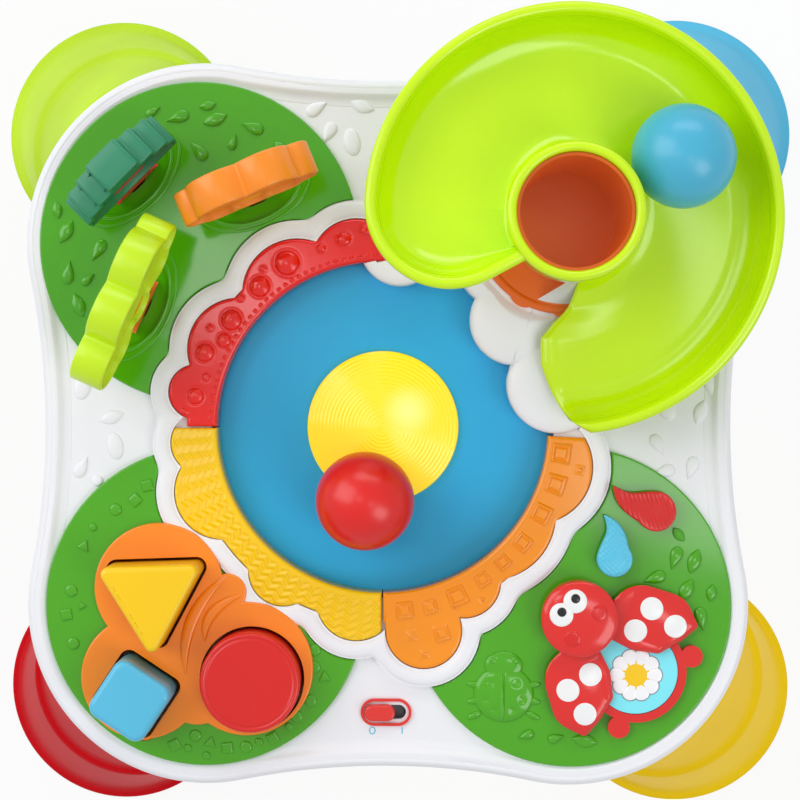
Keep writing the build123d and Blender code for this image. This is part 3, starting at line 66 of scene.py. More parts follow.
# %% Place the camera over the deck
CAMERA_AT = Vector((0.0256, 0.0282, 1.29))  # metres
CAMERA_AIM = Vector((0.0074, 0.0135, 0.34))
CAMERA_LENS, SENSOR = 77.7, 36.0  # millimetres

camera_data = bpy.data.cameras.new("camera")
camera_data.lens = CAMERA_LENS
camera_data.sensor_width = SENSOR
camera_data.clip_end = 20.0
camera = bpy.data.objects.new("camera", camera_data)
scene.collection.objects.link(camera)
back = (CAMERA_AT - CAMERA_AIM).normalized()
right = Vector((0, 1, 0)).cross(back).normalized()
up = back.cross(right)
camera.matrix_world = Matrix.Translation(CAMERA_AT) @ Matrix((right, up, back)).transposed().to_4x4()
scene.camera = camera
scene.view_settings.view_transform = "Standard"
print("camera", round((CAMERA_AT - CAMERA_AIM).length, 3), "m from the deck")

# %% [markdown]
# ## Light and floor
# Moulded plastic is known by its soft highlights, so the light comes from broad panels well outside the
# view and two narrow ones above the table, and an even pale world fills the rest.  To the camera, in
# mirrors and through glass, the world and the floor look near white.  To all other rays the world is
# dimmer, and the floor is an ordinary matt surface that still takes the table's shadow.

# %% Light panels
DECK_MIDDLE = Vector((0, 0, 0.34))


def light_panel(name, place, size, power):
    """Rectangular lamp at a place in metres, facing the middle of the deck."""
    lamp = bpy.data.lights.new(name, "AREA")
    lamp.shape = "RECTANGLE"
    lamp.size, lamp.size_y = size
    lamp.energy = power
    panel = bpy.data.objects.new(name, lamp)
    panel.location = place
    panel.rotation_euler = (Vector(place) - DECK_MIDDLE).to_track_quat("Z", "Y").to_euler()
    scene.collection.objects.link(panel)
    print(name, power, "W")


light_panel("light_left", (-1.5, 0.7, 1.7), (1.4, 1.8), 22)
light_panel("light_right", (1.3, -0.9, 1.9), (0.9, 1.2), 13)
light_panel("light_back", (0.2, 1.9, 1.3), (1.8, 0.6), 11)
light_panel("window_left", (-0.19, 0.12, 1.3), (0.11, 0.2), 0.3)
light_panel("window_right", (0.28, -0.1, 1.3), (0.11, 0.2), 0.3)

# %% Nodes and links
def wire(tree, node, inputs):
    """Inputs of a node, by name or number: a socket is linked to them, and a value is written on them."""
    for name, value in inputs.items():
        if isinstance(value, bpy.types.NodeSocket):
            tree.links.new(value, node.inputs[name])
        else:
            node.inputs[name].default_value = value
    return node


def add(tree, kind, inputs={}, **settings):
    """New node of a kind, with its settings and its inputs."""
    node = tree.nodes.new(kind)
    for name, value in settings.items():
        setattr(node, name, value)
    return wire(tree, node, inputs)


def background_seen(tree):
    """1 for rays from the camera and for those that mirror or pass through, 0 for the rest."""
    path = add(tree, "ShaderNodeLightPath").outputs
    seen = path["Is Camera Ray"]
    for ray in ("Is Glossy Ray", "Is Transmission Ray"):
        seen = add(tree, "ShaderNodeMath", {0: seen, 1: path[ray]}, operation="MAXIMUM").outputs[0]
    return seen


# %% Studio sky
SKY_LIGHT, SKY_SEEN = 0.45, 0.9
WHITE = (1, 1, 1, 1)

world = bpy.data.worlds.new("studio")
world.use_nodes = True
scene.world = world
tree = world.node_tree
lit = wire(tree, tree.nodes["Background"], {"Color": WHITE, "Strength": SKY_LIGHT})
shown = add(tree, "ShaderNodeBackground", {"Color": WHITE, "Strength": SKY_SEEN})
blend = add(tree, "ShaderNodeMixShader", {"Fac": background_seen(tree), 1: lit.outputs[0], 2: shown.outputs[0]})
wire(tree, tree.nodes["World Output"], {"Surface": blend.outputs[0]})
print("sky", SKY_SEEN, "as seen,", SKY_LIGHT, "as light")

# %% Pale floor
FLOOR_HALF, FLOOR_LOW = 30.0, -0.0004  # metres
FLOOR_PAINT = (0.9, 0.9, 0.9, 1)
FLOOR_GLOW = 0.88

floor_mesh = bpy.data.meshes.new("floor")
floor_mesh.from_pydata([(x * FLOOR_HALF, y * FLOOR_HALF, 0) for x, y in ((-1, -1), (1, -1), (1, 1), (-1, 1))],
                       [], [(0, 1, 2, 3)])
floor = bpy.data.objects.new("floor", floor_mesh)
floor.location.z = FLOOR_LOW
scene.collection.objects.link(floor)
floor_paint = bpy.data.materials.new("floor_paint")
floor_paint.use_nodes = True
tree = floor_paint.node_tree
matt = wire(tree, tree.nodes["Principled BSDF"], {"Base Color": FLOOR_PAINT, "Roughness": 0.9})
glow = add(tree, "ShaderNodeEmission", {"Strength": 1.0})
share = add(tree, "ShaderNodeMath", {0: background_seen(tree), 1: FLOOR_GLOW}, operation="MULTIPLY")
blend = add(tree, "ShaderNodeMixShader", {"Fac": share.outputs[0], 1: matt.outputs[0], 2: glow.outputs[0]})
wire(tree, tree.nodes["Material Output"], {"Surface": blend.outputs[0]})
floor_mesh.materials.append(floor_paint)
print("floor", 2 * FLOOR_HALF, "m wide")

# %% [markdown]
# ## Moulded plastic
# Nearly every piece is injection-moulded, and differs only in colour, gloss and grain.  One function
# builds the node tree: a slow noise shifts the colour a little, as uneven pigment does, and a fine noise
# lifts the surface by hundredths of a millimetre, as a sparked mould does.  Both read Object
# coordinates, so that they stay fixed to the piece.

# %% Plastic finish
MM = 0.001
GRAIN_SCALE = 1 / (1.2 * MM)  # a lump of grain every 1.2 mm
DRIFT_SCALE = 9.0
REFRACTION = 1.48
SOFT_DEPTH = 4 * MM  # how far light spreads under the skin


def linear(colour):
    """Screen colour, 0 to 255 a channel, as the linear light that a shader wants."""
    value = np.asarray(colour, float) / 255
    return np.where(value <= 0.04045, value / 12.92, ((value + 0.055) / 1.055) ** 2.4)


def plastic(name, colour, rough, drift=0.06, grain=0.02, glow=0.0, depth=0.0, shine=0.5):
    """Moulded plastic: colour drift and grain from two noises, and soft depth or glow where wanted."""
    material = bpy.data.materials.new(name)
    material.use_nodes = True
    tree = material.node_tree
    place = add(tree, "ShaderNodeTexCoord").outputs["Object"]
    slow = add(tree, "ShaderNodeTexNoise", {"Vector": place, "Scale": DRIFT_SCALE, "Detail": 2.0})
    fine = add(tree, "ShaderNodeTexNoise", {"Vector": place, "Scale": GRAIN_SCALE, "Detail": 1.0})
    ramp = add(tree, "ShaderNodeValToRGB", {"Fac": slow.outputs["Fac"]})
    for stop, at, share in zip(ramp.color_ramp.elements, (0.3, 0.7), (1 - drift, 1 + drift)):
        stop.position = at
        stop.color = (*np.minimum(linear(colour) * share, 1), 1)
    bump = add(tree, "ShaderNodeBump", {"Height": fine.outputs["Fac"], "Strength": 1.0, "Distance": grain * MM})
    looks = {"Base Color": ramp.outputs["Color"], "Normal": bump.outputs["Normal"], "Roughness": rough,
             "IOR": REFRACTION, "Specular IOR Level": shine}
    if depth:
        looks |= {"Subsurface Weight": depth, "Subsurface Scale": SOFT_DEPTH, "Subsurface Radius": (1, 1, 1)}
    # Glow is emission. In the lens it is the lamps' own light. On the orange chute and its ring it is painted
    # light that brightens the chute's shaded inside.
    if glow:
        looks |= {"Emission Color": ramp.outputs["Color"], "Emission Strength": glow}
    wire(tree, tree.nodes["Principled BSDF"], looks)
    return material


# %% [markdown]
# The colours are written as they look on a screen.  Panels and keys are polished, the shells are satin.

# %% Colours of the table
PLASTICS = {  # screen colour, roughness, what else differs
    "white_shell": ((236, 237, 242), 0.38, {"drift": 0.01}),
    "white_column": ((222, 224, 227), 0.25, {"drift": 0.01}),
    "play_blue": ((30, 170, 224), 0.35),
    "lens_yellow": ((242, 212, 26), 0.12, {"glow": 0.5}),
    "arc_red": ((236, 24, 18), 0.13),
    "arc_yellow": ((246, 200, 0), 0.22),
    "arc_orange": ((246, 146, 16), 0.15),
    "slide_lime": ((204, 242, 6), 0.16, {"depth": 0.2}),
    # Painted light: the chute and its ring glow a little, so that the inside of the chute looks bright where
    # little lamp light reaches.
    "chute_orange": ((214, 96, 14), 0.3, {"glow": 0.1}),
    "panel_green": ((74, 166, 8), 0.12, {"grain": 0.004}),
    "sorter_orange": ((254, 138, 26), 0.18),
    "bug_red": ((222, 38, 34), 0.14),
    "disc_cyan": ((130, 236, 250), 0.1),
    "flower_white": ((246, 247, 250), 0.2, {"drift": 0.01}),
    "eye_white": ((240, 241, 242), 0.2, {"drift": 0.01}),
    "pupil_black": ((16, 16, 18), 0.15),
    "key_red": ((214, 30, 26), 0.22),
    "key_blue": ((86, 194, 226), 0.22),
    "block_yellow": ((246, 200, 2), 0.3),
    "block_blue": ((86, 186, 222), 0.3),
    "block_red": ((216, 26, 22), 0.3),
    "ball_blue": ((72, 178, 212), 0.3),
    "ball_red": ((220, 26, 22), 0.28),
    "switch_red": ((222, 50, 44), 0.25),
    "crown_pine": ((38, 132, 96), 0.35),
    "crown_orange": ((244, 140, 34), 0.3),
    "crown_lime": ((198, 236, 26), 0.3),
    "trunk_red": ((214, 36, 30), 0.35),
    "trunk_yellow": ((244, 196, 24), 0.35),
    "trunk_orange": ((236, 106, 30), 0.35),
    "leg_lime": ((192, 228, 50), 0.45, {"drift": 0.12, "shine": 0.12}),
    "leg_blue": ((92, 192, 230), 0.45, {"drift": 0.05, "shine": 0.12}),
    "leg_red": ((206, 14, 26), 0.35, {"drift": 0.1, "shine": 0.04}),
    "leg_yellow": ((255, 208, 22), 0.35, {"drift": 0.08, "shine": 0.04}),
    "steel": ((160, 160, 165), 0.3),
    "pad_rubber": ((30, 30, 32), 0.7),
    "board_green": ((18, 84, 48), 0.45),
    "lamp_clear": ((244, 240, 210), 0.1),
    "speaker_black": ((22, 22, 24), 0.6),
    "inner_grey": ((140, 142, 146), 0.45),
    "cell_grey": ((84, 88, 96), 0.3),
    "contact_metal": ((190, 188, 178), 0.3),
}

finishes = {name: plastic(name, colour, rough, **dict(*more))
            for name, (colour, rough, *more) in PLASTICS.items()}
print(len(finishes), "finishes")

# %% Light inside the lens
LAMP_AT = (0.0118, 0.0073, 0.336)  # metres
LAMP_SPREAD = 0.06
LAMP_FADE = ((0.0, (0.95, 0.88, 0.5, 1)), (0.3, (0.72, 0.55, 0.03, 1)), (1.0, (0.62, 0.45, 0.0, 1)))

tree = finishes["lens_yellow"].node_tree
place = add(tree, "ShaderNodeTexCoord").outputs["Object"]
away = add(tree, "ShaderNodeVectorMath", {0: place, 1: LAMP_AT}, operation="DISTANCE")
spread = add(tree, "ShaderNodeMapRange", {"Value": away.outputs["Value"], "From Max": LAMP_SPREAD})
fade = add(tree, "ShaderNodeValToRGB", {"Fac": spread.outputs["Result"]})
fade.color_ramp.interpolation = "EASE"
fade.color_ramp.elements.new(0.3)
for stop, (at, colour) in zip(fade.color_ramp.elements, LAMP_FADE):
    stop.position, stop.color = at, colour
wire(tree, tree.nodes["Principled BSDF"], {"Emission Color": fade.outputs["Color"]})
print("lens lit round", LAMP_AT)

# %% Paint the CAD nodes
slot_of = {part["node"]: part["material_slot"] for part in frame["record"]["subparts"]}
for name, node in frame["nodes"].items():
    node.data.materials.clear()
    node.data.materials.append(finishes[slot_of[name]])
print("painted", len(frame["nodes"]), "nodes")

# %% [markdown]
# ## Bare CAD nodes
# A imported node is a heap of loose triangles.  Its round faces would show facets, so a small node group
# merges the corners and shades it smooth, except across edges sharper than a chosen angle.  Weighted
# normals then keep the big flat faces flat.  Modifiers leave the stored mesh as it is.

# %% Smooth shading by angle
SHARP_ANGLE = np.radians(32)
SAME_PLACE = 0.002 * MM


def smooth_group():
    """Geometry nodes: merge by distance, then shade smooth where two faces meet at a small angle."""
    group = bpy.data.node_groups.new("smooth_by_angle", "GeometryNodeTree")
    for end in ("INPUT", "OUTPUT"):
        group.interface.new_socket("Geometry", in_out=end, socket_type="NodeSocketGeometry")
    start = add(group, "NodeGroupInput")
    merge = add(group, "GeometryNodeMergeByDistance", {"Geometry": start.outputs[0], "Distance": SAME_PLACE})
    faces = add(group, "GeometryNodeSetShadeSmooth", {"Geometry": merge.outputs[0]})
    angle = add(group, "GeometryNodeInputMeshEdgeAngle").outputs["Unsigned Angle"]
    small = add(group, "FunctionNodeCompare", {0: angle, 1: SHARP_ANGLE}, operation="LESS_THAN")
    edges = add(group, "GeometryNodeSetShadeSmooth",
                {"Geometry": faces.outputs[0], "Shade Smooth": small.outputs[0]}, domain="EDGE")
    add(group, "NodeGroupOutput", {0: edges.outputs[0]})
    return group


smoothing = smooth_group()
for node in frame["nodes"].values():
    node.modifiers.new("smooth", "NODES").node_group = smoothing
    node.modifiers.new("even_normals", "WEIGHTED_NORMAL").keep_sharp = True
print("smoothed", len(frame["nodes"]), "nodes")

# %% [markdown]
# ## Surfaces from arrays
# A moulding's skin can be drawn face by face, but it is shorter and exact as a function.  Each piece
# below is a grid of points: every row is a closed loop, and the rows run along the piece.  The rows are
# joined by four-sided faces, and the two end loops are zipped shut, each point to the one across from
# it.  The sign of the enclosed volume then says whether the faces look outwards.

# %% Grid of rows to a closed skin
def skin(grid, ring=False):
    """Quads over an array rows x points x 3.  Each row closes on itself.  The ends are zipped shut, or
    joined to each other where the rows go all the way round."""
    rows, count = grid.shape[:2]
    index = np.arange(rows * count).reshape(rows, count)
    loops = np.vstack([index, index[:1]]) if ring else index
    near, far = loops[:-1], loops[1:]
    quads = np.stack([near, np.roll(near, -1, 1), np.roll(far, -1, 1), far], -1).reshape(-1, 4)
    if not ring:
        step = np.arange(count // 2 - 1)
        across = count - 1 - step
        first = np.stack([index[0, step], index[0, across], index[0, across - 1], index[0, step + 1]], -1)
        last = np.stack([index[-1, step + 1], index[-1, across - 1], index[-1, across], index[-1, step]], -1)
        quads = np.vstack([quads, first, last])
    points = grid.reshape(-1, 3)
    a, b, c, d = (points[quads[:, corner]] for corner in range(4))
    volume = np.einsum("ij,ij", a, np.cross(b, c) + np.cross(c, d))
    return points, quads if volume > 0 else quads[:, ::-1]


# %% Skins to a piece
def piece(name, skins, slot, body="table", replaces=()):
    """One object from a list of skins in millimetres, shaded smooth, riding on a body."""
    starts = np.cumsum([0] + [len(points) for points, quads in skins[:-1]])
    points = np.vstack([points for points, quads in skins]) * MM
    quads = np.vstack([quads + start for (_, quads), start in zip(skins, starts)])
    mesh = bpy.data.meshes.new(name)
    mesh.vertices.add(len(points))
    mesh.vertices.foreach_set("co", points.astype(np.float32).ravel())
    mesh.loops.add(quads.size)
    mesh.loops.foreach_set("vertex_index", quads.astype(np.int32).ravel())
    mesh.polygons.add(len(quads))
    mesh.polygons.foreach_set("loop_start", np.arange(0, quads.size, 4, dtype=np.int32))
    mesh.polygons.foreach_set("use_smooth", np.ones(len(quads), bool))
    mesh.update(calc_edges=True)
    mesh.materials.append(finishes[slot])
    thing = bpy.data.objects.new(name, mesh)
    scene.collection.objects.link(thing)
    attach(thing, body)
    if replaces:
        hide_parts(*replaces)
    print(name, len(quads), "faces")
    return thing


def box_of(node):
    """Low and high corner of a CAD node's box, in millimetres."""
    return [np.array(corner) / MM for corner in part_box(node)]


# %% Directions and places round an axis
def unit(angle):
    """Directions of the plan for angles in degrees."""
    turn = np.radians(angle)
    return np.stack([np.cos(turn), np.sin(turn)], -1)


def polar(middle, reach, turn, height):
    """Points at a reach and a turn in radians round an upright axis."""
    x, y = middle[0] + reach * np.cos(turn), middle[1] + reach * np.sin(turn)
    return np.stack([x, y, height + 0 * x], -1)


def met(ways, circles):
    """Where a ray from the origin leaves each circle (x, y, radius): the circle's middle as far as it
    lies along the ray, plus half of the chord, or 0 where the ray misses the circle."""
    x, y, radius = np.transpose(circles)
    along = ways @ np.stack([x, y])
    inside = radius ** 2 - (x ** 2 + y ** 2 - along ** 2)
    return np.where(inside > 0, along + np.sqrt(np.maximum(inside, 0)), 0)


# %% Profiles of caps and fillets
def cap(share, power=2.0):
    """Height of a cap 1 tall at a share of its radius: the root of one less share to a power."""
    return np.sqrt(np.clip(1 - share ** power, 0, 1))


def fall(share):
    """Drop of a quarter circle, from 0 where it is level to 1 where it is upright."""
    return 1 - cap(np.maximum(share, 0))


# %% Closed outlines
def full_turn(count):
    """Even steps round a whole turn, in radians."""
    return np.linspace(0, 2 * np.pi, count, endpoint=False)


def circle(count):
    """Unit circle as count points."""
    turn = full_turn(count)
    return np.stack([np.cos(turn), np.sin(turn)], -1)


def rounded(corners, soft, count):
    """Outline through corners, walked at an even pace; each point is averaged with its neighbours by a
    bell curve soft millimetres wide, which rounds the corners."""
    corners = np.vstack([corners, corners[:1]])
    reach = np.concatenate([[0], np.cumsum(np.hypot(*np.diff(corners, axis=0).T))])
    pace = np.linspace(0, reach[-1], count, endpoint=False)
    path = np.interp(pace, reach, corners[:, 0]) + 1j * np.interp(pace, reach, corners[:, 1])
    often = np.fft.fftfreq(count, reach[-1] / count)
    path = np.fft.ifft(np.fft.fft(path) * np.exp(-2 * (np.pi * often * soft) ** 2))
    return np.stack([path.real, path.imag], -1)


def hull(circles, soft, count=192):
    """Taut outline round circles (x, y, radius): in each direction the circle that reaches farthest
    gives the point, and the straight runs between are filled in evenly."""
    ways = circle(720)
    centres = np.asarray(circles, float)
    first = centres[np.argmax(ways @ centres[:, :2].T + centres[:, 2], 1)]
    return rounded(first[:, :2] + ways * first[:, 2:], soft, count)


def turned(points, angle, middle):
    """Points of the plan turned by an angle in degrees, then moved."""
    return points @ np.stack([unit(angle), unit(angle + 90)]) + middle


# %% Lines beside a path
def beside(path):
    """Unit normals of a closed path, to the right of the way it runs."""
    along = np.roll(path, -1, 0) - np.roll(path, 1, 0)
    return np.stack([along[:, 1], -along[:, 0]], -1) / np.hypot(*along.T)[:, None]


def left_of(line):
    """Unit normals of an open line, to the left of the way it runs."""
    along = np.gradient(line, axis=0)
    return np.stack([-along[:, 1], along[:, 0]], -1) / np.hypot(*along.T)[:, None]


def inset(outline, depth):
    """Outline moved inwards along its normals."""
    return outline - beside(outline) * depth


# %% Forms raised on an outline
PATCH_SUNK, PATCH_ROWS = 0.3, 10


def solid(outline, levels):
    """Stack of loops: each level is (inset, height)."""
    return np.stack([np.column_stack([inset(outline, depth), np.full(len(outline), height)])
                     for depth, height in levels])


def shrunk(outline, rows):
    """Outline drawn to its middle by the cosine of even steps: x, y and the share that is left, which
    is 1 at the edge and nearly 0 in the middle."""
    middle = outline.mean(0)
    share = np.cos(np.linspace(0, np.pi / 2, rows + 1)[:-1])[:, None]
    x, y = (middle[axis] + (outline[:, axis] - middle[axis]) * share for axis in (0, 1))
    return x, y, share


def mound(outline, base, rise, sink, rows):
    """Low form: each point of the shrinking outline is lifted by rise(x, y, share)."""
    x, y, share = shrunk(outline, rows)
    foot = np.column_stack([outline, np.full(len(outline), base - sink)])
    return skin(np.concatenate([foot[None], np.stack([x, y, base + rise(x, y, share)], -1)]))


def patch(outline, surface, thick):
    """Thin patch that follows a surface, with an underside of its own, rounded off at its edge."""
    x, y, share = shrunk(outline, PATCH_ROWS)
    under = np.stack([x, y, surface(x, y) - PATCH_SUNK + 0 * x], -1)
    top = np.stack([x, y, surface(x, y) + thick * cap(share, 4)], -1)
    return skin(np.concatenate([under[::-1], top]))


def dome(height, fullness=2.0):
    """Rise of a mound as a cap, fuller for higher powers."""
    return lambda x, y, share: height * cap(share, fullness) + 0 * x


def plate(top, low, ring=False):
    """Rows of points, and back again below them at the height low."""
    under = np.dstack([top[..., :2], np.broadcast_to(low, top.shape[:2])])
    return skin(np.concatenate([top, under[:, ::-1]], 1), ring)


def band_of(line, stand, bow):
    """Plan of a strip: at each point of an open line, stand times the cosine of bow to its left."""
    return line[:, None] + left_of(line)[:, None] * (np.cos(bow) * stand)[..., None]


# %% Forms turned round an axis or carried along a path
def lathe(profile, centre, count, ring=True):
    """Profile of (radius, height) carried round an upright axis.  It closes on itself as a ring, or its
    first and last circles are zipped shut.  The centre may be another one at each point."""
    profile = np.asarray(profile, float)
    plan = np.asarray(centre) + profile[:, :1, None] * circle(count)
    return skin(np.dstack([plan, np.broadcast_to(profile[:, 1:], plan.shape[:2])]), ring)


def bead(path, height, radius, flat=1.0, count=12):
    """Round bead along a closed path of the plan; flat squashes its section."""
    section = circle(count) * radius
    plan = path[:, None] + beside(path)[:, None] * section[None, :, :1]
    high = np.broadcast_to(height + section[:, 1] * flat, plan.shape[:2])
    return skin(np.dstack([plan, high]), ring=True)


# %% [markdown]
# ## Deck rim
# The white deck ends in a rolled bead with a groove and a cove inside it.  The outline is four corner
# circles and four hollow sides; from the middle, each direction meets one of them, so the rim is a
# profile of (inset, height) carried round by angle.

# %% Outline of the deck
DECK_Z = 340.0
CORNER_CENTRE = 100.0
CORNER_RADIUS = 99.0
WAIST = 189.0
SIDE_RADIUS = ((CORNER_CENTRE ** 2 + (WAIST - CORNER_CENTRE) ** 2 - CORNER_RADIUS ** 2)
               / (2 * (CORNER_RADIUS - WAIST + CORNER_CENTRE)))


def deck_outline(way, depth):
    """Distance to the deck's edge, moved in by depth, in the directions way (radians)."""
    folded = np.abs((way + np.pi / 4) % (np.pi / 2) - np.pi / 4)
    side = WAIST + SIDE_RADIUS
    meet = np.array([CORNER_CENTRE - side, CORNER_CENTRE])
    meet = np.array([CORNER_CENTRE, CORNER_CENTRE]) - meet / np.hypot(*meet) * CORNER_RADIUS
    split = np.arctan2(meet[1], meet[0])
    hollow = side * np.cos(folded) - np.sqrt(
        np.maximum((SIDE_RADIUS + depth) ** 2 - (side * np.sin(folded)) ** 2, 0))
    off = folded - np.pi / 4
    diagonal = CORNER_CENTRE * np.sqrt(2)
    corner = diagonal * np.cos(off) + np.sqrt(
        np.maximum((CORNER_RADIUS - depth) ** 2 - (diagonal * np.sin(off)) ** 2, 0))
    return np.where(folded < abs(split), hollow, corner)


# %% Rim bead
RIM_PROFILE = np.array([  # inset from the edge, height above the deck
    (0.4, -16), (-0.15, -14), (-0.3, -6), (-0.1, -2.4), (0.7, 0.4), (1.9, 2.1), (3.2, 2.95), (4.5, 3.1),
    (5.4, 2.75), (5.9, 2.25), (6.4, 2.35), (7.4, 2.9), (8.6, 2.7), (9.8, 1.7), (11.2, 0.75), (13.2, 0.2),
    (15.5, 0.03), (15.5, -0.8), (12.0, -0.8), (9.0, -1.0), (7.0, -1.4), (5.0, -4.0), (3.0, -8.0), (1.4, -16)])

way = full_turn(960)[:, None]
rim_profile = rounded(RIM_PROFILE, 0.25, 72)
rim = polar((0, 0), deck_outline(way, rim_profile[:, 0]), way, DECK_Z + rim_profile[:, 1])
piece("deck_rim", [skin(rim, ring=True)], "white_shell")

# %% [markdown]
# ## Tactile arcs and the white band
# Three soft plates curve round the play well: bubbles on the red, fine waves on the yellow, nested
# squares on the orange.  Their scalloped edge could be cut by booleans, but in polar form it is one
# number a direction: the farthest scallop met, softened so that the notches are round.  Height falls
# off in a quarter circle near every edge, and the relief is added on top.

# %% Scalloped edge by direction
PLAY = np.array([-2.3, -1.4])
PLAY_RADIUS = 91.0
BAND = 16.5
RED_SCALLOPS = (  # direction, reach beyond the well, radius
    (99.0, 24.4, 25.0), (122.5, 25.9, 30.0), (151.5, 26.8, 28.0), (169.3, 28.2, 15.0))
YELLOW_SCALLOPS = ((185.0, 25.7, 17.0), (202.0, 30.3, 26.0), (235.5, 24.4, 19.0), (261.5, 27.5, 22.0))
ORANGE_SCALLOPS = ((281.5, 44.0, 21.0), (298.0, 25.0, 20.0), (321.0, 21.0, 36.0), (345.5, 27.1, 31.0))


def scalloped(angle, scallops, grow=0.0, blend=1.1):
    """Edge in a direction (degrees): soft union of the plain band and the scallops' circles, which is a
    logarithm of summed exponentials."""
    at, beyond, radius = np.transpose(scallops)
    middles = unit(at) * (PLAY_RADIUS + beyond - radius)[:, None]
    reach = met(unit(angle), np.column_stack([middles, radius + grow]))
    plain = np.exp((PLAY_RADIUS + BAND + grow) / blend)
    return blend * np.log(plain + np.exp(reach / blend).sum(-1))


# %% One arc
FLOOR_Z = 328.0
ARC_TOP, ARC_ROUND = 344.5, 2.0
SKIRT = 3.0
RED_START, YELLOW_START, ORANGE_START, ORANGE_END = 88.5, 180.0, 270.0, 357.3
SPLIT = 0.25


def arc(scallops, start, end, relief):
    """Plate over (direction, share): quarter-round near its edges, relief(angle, reach) on top."""
    angle = np.linspace(start + SPLIT, end - SPLIT, 420)[:, None]
    even = np.linspace(0, 1, 84)
    share = 0.75 * (1 - np.cos(np.pi * even)) / 2 + 0.25 * even
    outer = scalloped(angle, scallops)
    reach = PLAY_RADIUS + (outer - PLAY_RADIUS) * share
    slope = np.gradient(outer[:, 0], np.radians(angle[:, 0]))[:, None] / outer
    near = (outer - reach) / np.sqrt(1 + slope ** 2)
    ends = np.radians(np.minimum(angle - angle[0], angle[-1] - angle)) * reach
    depth = np.minimum(np.minimum(near, reach - PLAY_RADIUS), ends)
    top = ARC_TOP - ARC_ROUND * fall(1 - depth / ARC_ROUND) + relief(angle, reach) * np.clip(depth / 1.5, 0, 1)
    under = np.where(reach > PLAY_RADIUS + SKIRT, DECK_Z, FLOOR_Z)
    return plate(polar(PLAY, reach, np.radians(angle), top), under)


def arc_place(angle, reach, at, beyond):
    """Millimetres along and across the arc from a place given by its direction and reach."""
    return np.radians(angle - at) * (PLAY_RADIUS + beyond), reach - PLAY_RADIUS - beyond


# %% Red arc with bubbles
BUBBLES = (  # direction, reach beyond the well, radius
    (120.0, 12.9, 6.6), (131.0, 11.1, 5.5), (144.6, 10.4, 5.5), (151.2, 8.0, 3.8), (157.2, 14.4, 4.9),
    (101.5, 14.1, 3.8), (170.5, 12.8, 4.4), (94.9, 17.4, 2.7), (126.9, 17.6, 1.9), (137.6, 14.2, 2.0),
    (150.1, 18.2, 1.9), (108.8, 12.6, 2.4), (164.2, 9.4, 2.2), (175.4, 18.0, 2.0), (91.9, 11.0, 1.6))
BUBBLE_TALL, MOAT_DEEP = 0.46, 0.25
BEAD_STEP, BEAD_RADIUS, BEAD_TALL, BEAD_LINE = 90 / 34, 0.95, 0.8, 3.4


def bubbles(angle, reach):
    """Each bubble is a low cap inside a faint moat; a row of tiny beads follows the inner edge."""
    lift = 0.0
    for at, beyond, radius in BUBBLES:
        off = np.hypot(*arc_place(angle, reach, at, beyond)) / radius
        lift = lift + BUBBLE_TALL * radius * cap(off) - MOAT_DEEP * np.exp(-((off - 1.12) / 0.12) ** 2)
    off = np.hypot(*arc_place((angle - RED_START) % BEAD_STEP, reach, BEAD_STEP / 2, BEAD_LINE))
    return lift + BEAD_TALL * cap(off / BEAD_RADIUS)


piece("red_arc", [arc(RED_SCALLOPS, RED_START, YELLOW_START, bubbles)], "arc_red", replaces=("red_bubble_arc",))

# %% Yellow arc with waves
ZIGZAGS, SWING = 84, 1.3
RIDGE_PITCH, RIDGE_TALL = 4.4, 0.5


def waves(angle, reach):
    """Zigzag ridges along the arc: a sine across it whose phase swings from side to side."""
    swing = SWING * np.arcsin(np.sin(np.radians(angle) * ZIGZAGS)) / (np.pi / 2)
    ridges = np.sin((reach + swing) * 2 * np.pi / RIDGE_PITCH)
    return RIDGE_TALL * ridges * np.clip((reach - PLAY_RADIUS - 2.5) / 2, 0, 1)


piece("yellow_arc", [arc(YELLOW_SCALLOPS, YELLOW_START, ORANGE_START, waves)], "arc_yellow",
      replaces=("yellow_wave_arc",))

# %% Orange arc with nested squares
SQUARES = (  # direction, reach beyond the well, side
    (351.8, 8.0, 10.9), (341.9, 9.1, 10.9), (331.6, 8.4, 10.4), (320.7, 8.7, 9.3), (311.9, 8.2, 8.2),
    (303.5, 9.0, 8.2), (294.0, 10.4, 10.9), (285.0, 10.8, 8.2), (277.0, 10.2, 9.8), (286.2, 26.8, 8.8),
    (277.8, 24.6, 5.6), (280.4, 35.2, 5.4), (347.8, 19.8, 4.9), (300.4, 18.3, 3.6))
TILE_TALL, LINE_DEEP = 1.3, 1.1


def squares(angle, reach):
    """Each tile is raised where the larger of the two offsets is within half its side, with a sunken
    square line and a raised middle inside."""
    lift = 0.0
    for at, beyond, side in SQUARES:
        along, across = arc_place(angle, reach, at, beyond)
        inside = side / 2 - np.maximum(np.abs(along), np.abs(across))
        line = np.clip(1 - np.abs(inside - side * 0.2) / 0.8, 0, 1)
        lift = lift + TILE_TALL * np.clip(inside / 0.9, 0, 1) - LINE_DEEP * line
    return lift


piece("orange_arc", [arc(ORANGE_SCALLOPS, ORANGE_START, ORANGE_END, squares)], "arc_orange",
      replaces=("orange_square_arc",))

# %% White band round the arcs
BAND_START, BAND_END = 84.5, 360.5
BAND_WIDTH, BAND_TOP = 10.0, 345.4

every = RED_SCALLOPS + YELLOW_SCALLOPS + ORANGE_SCALLOPS
angle = np.linspace(BAND_START, BAND_END, 900)[:, None]
inner = scalloped(angle, every, 0.15) + 0.15
outer = scalloped(angle, every, BAND_WIDTH, 2.0) + 0.2
bend = np.linspace(0, np.pi, 26)
reach = inner + (outer - inner) * (1 - np.cos(bend)) / 2
hump = DECK_Z + (BAND_TOP - DECK_Z) * np.sin(bend) ** 0.55
piece("white_band", [plate(polar(PLAY, reach, np.radians(angle), hump), DECK_Z - 0.6)], "white_shell")

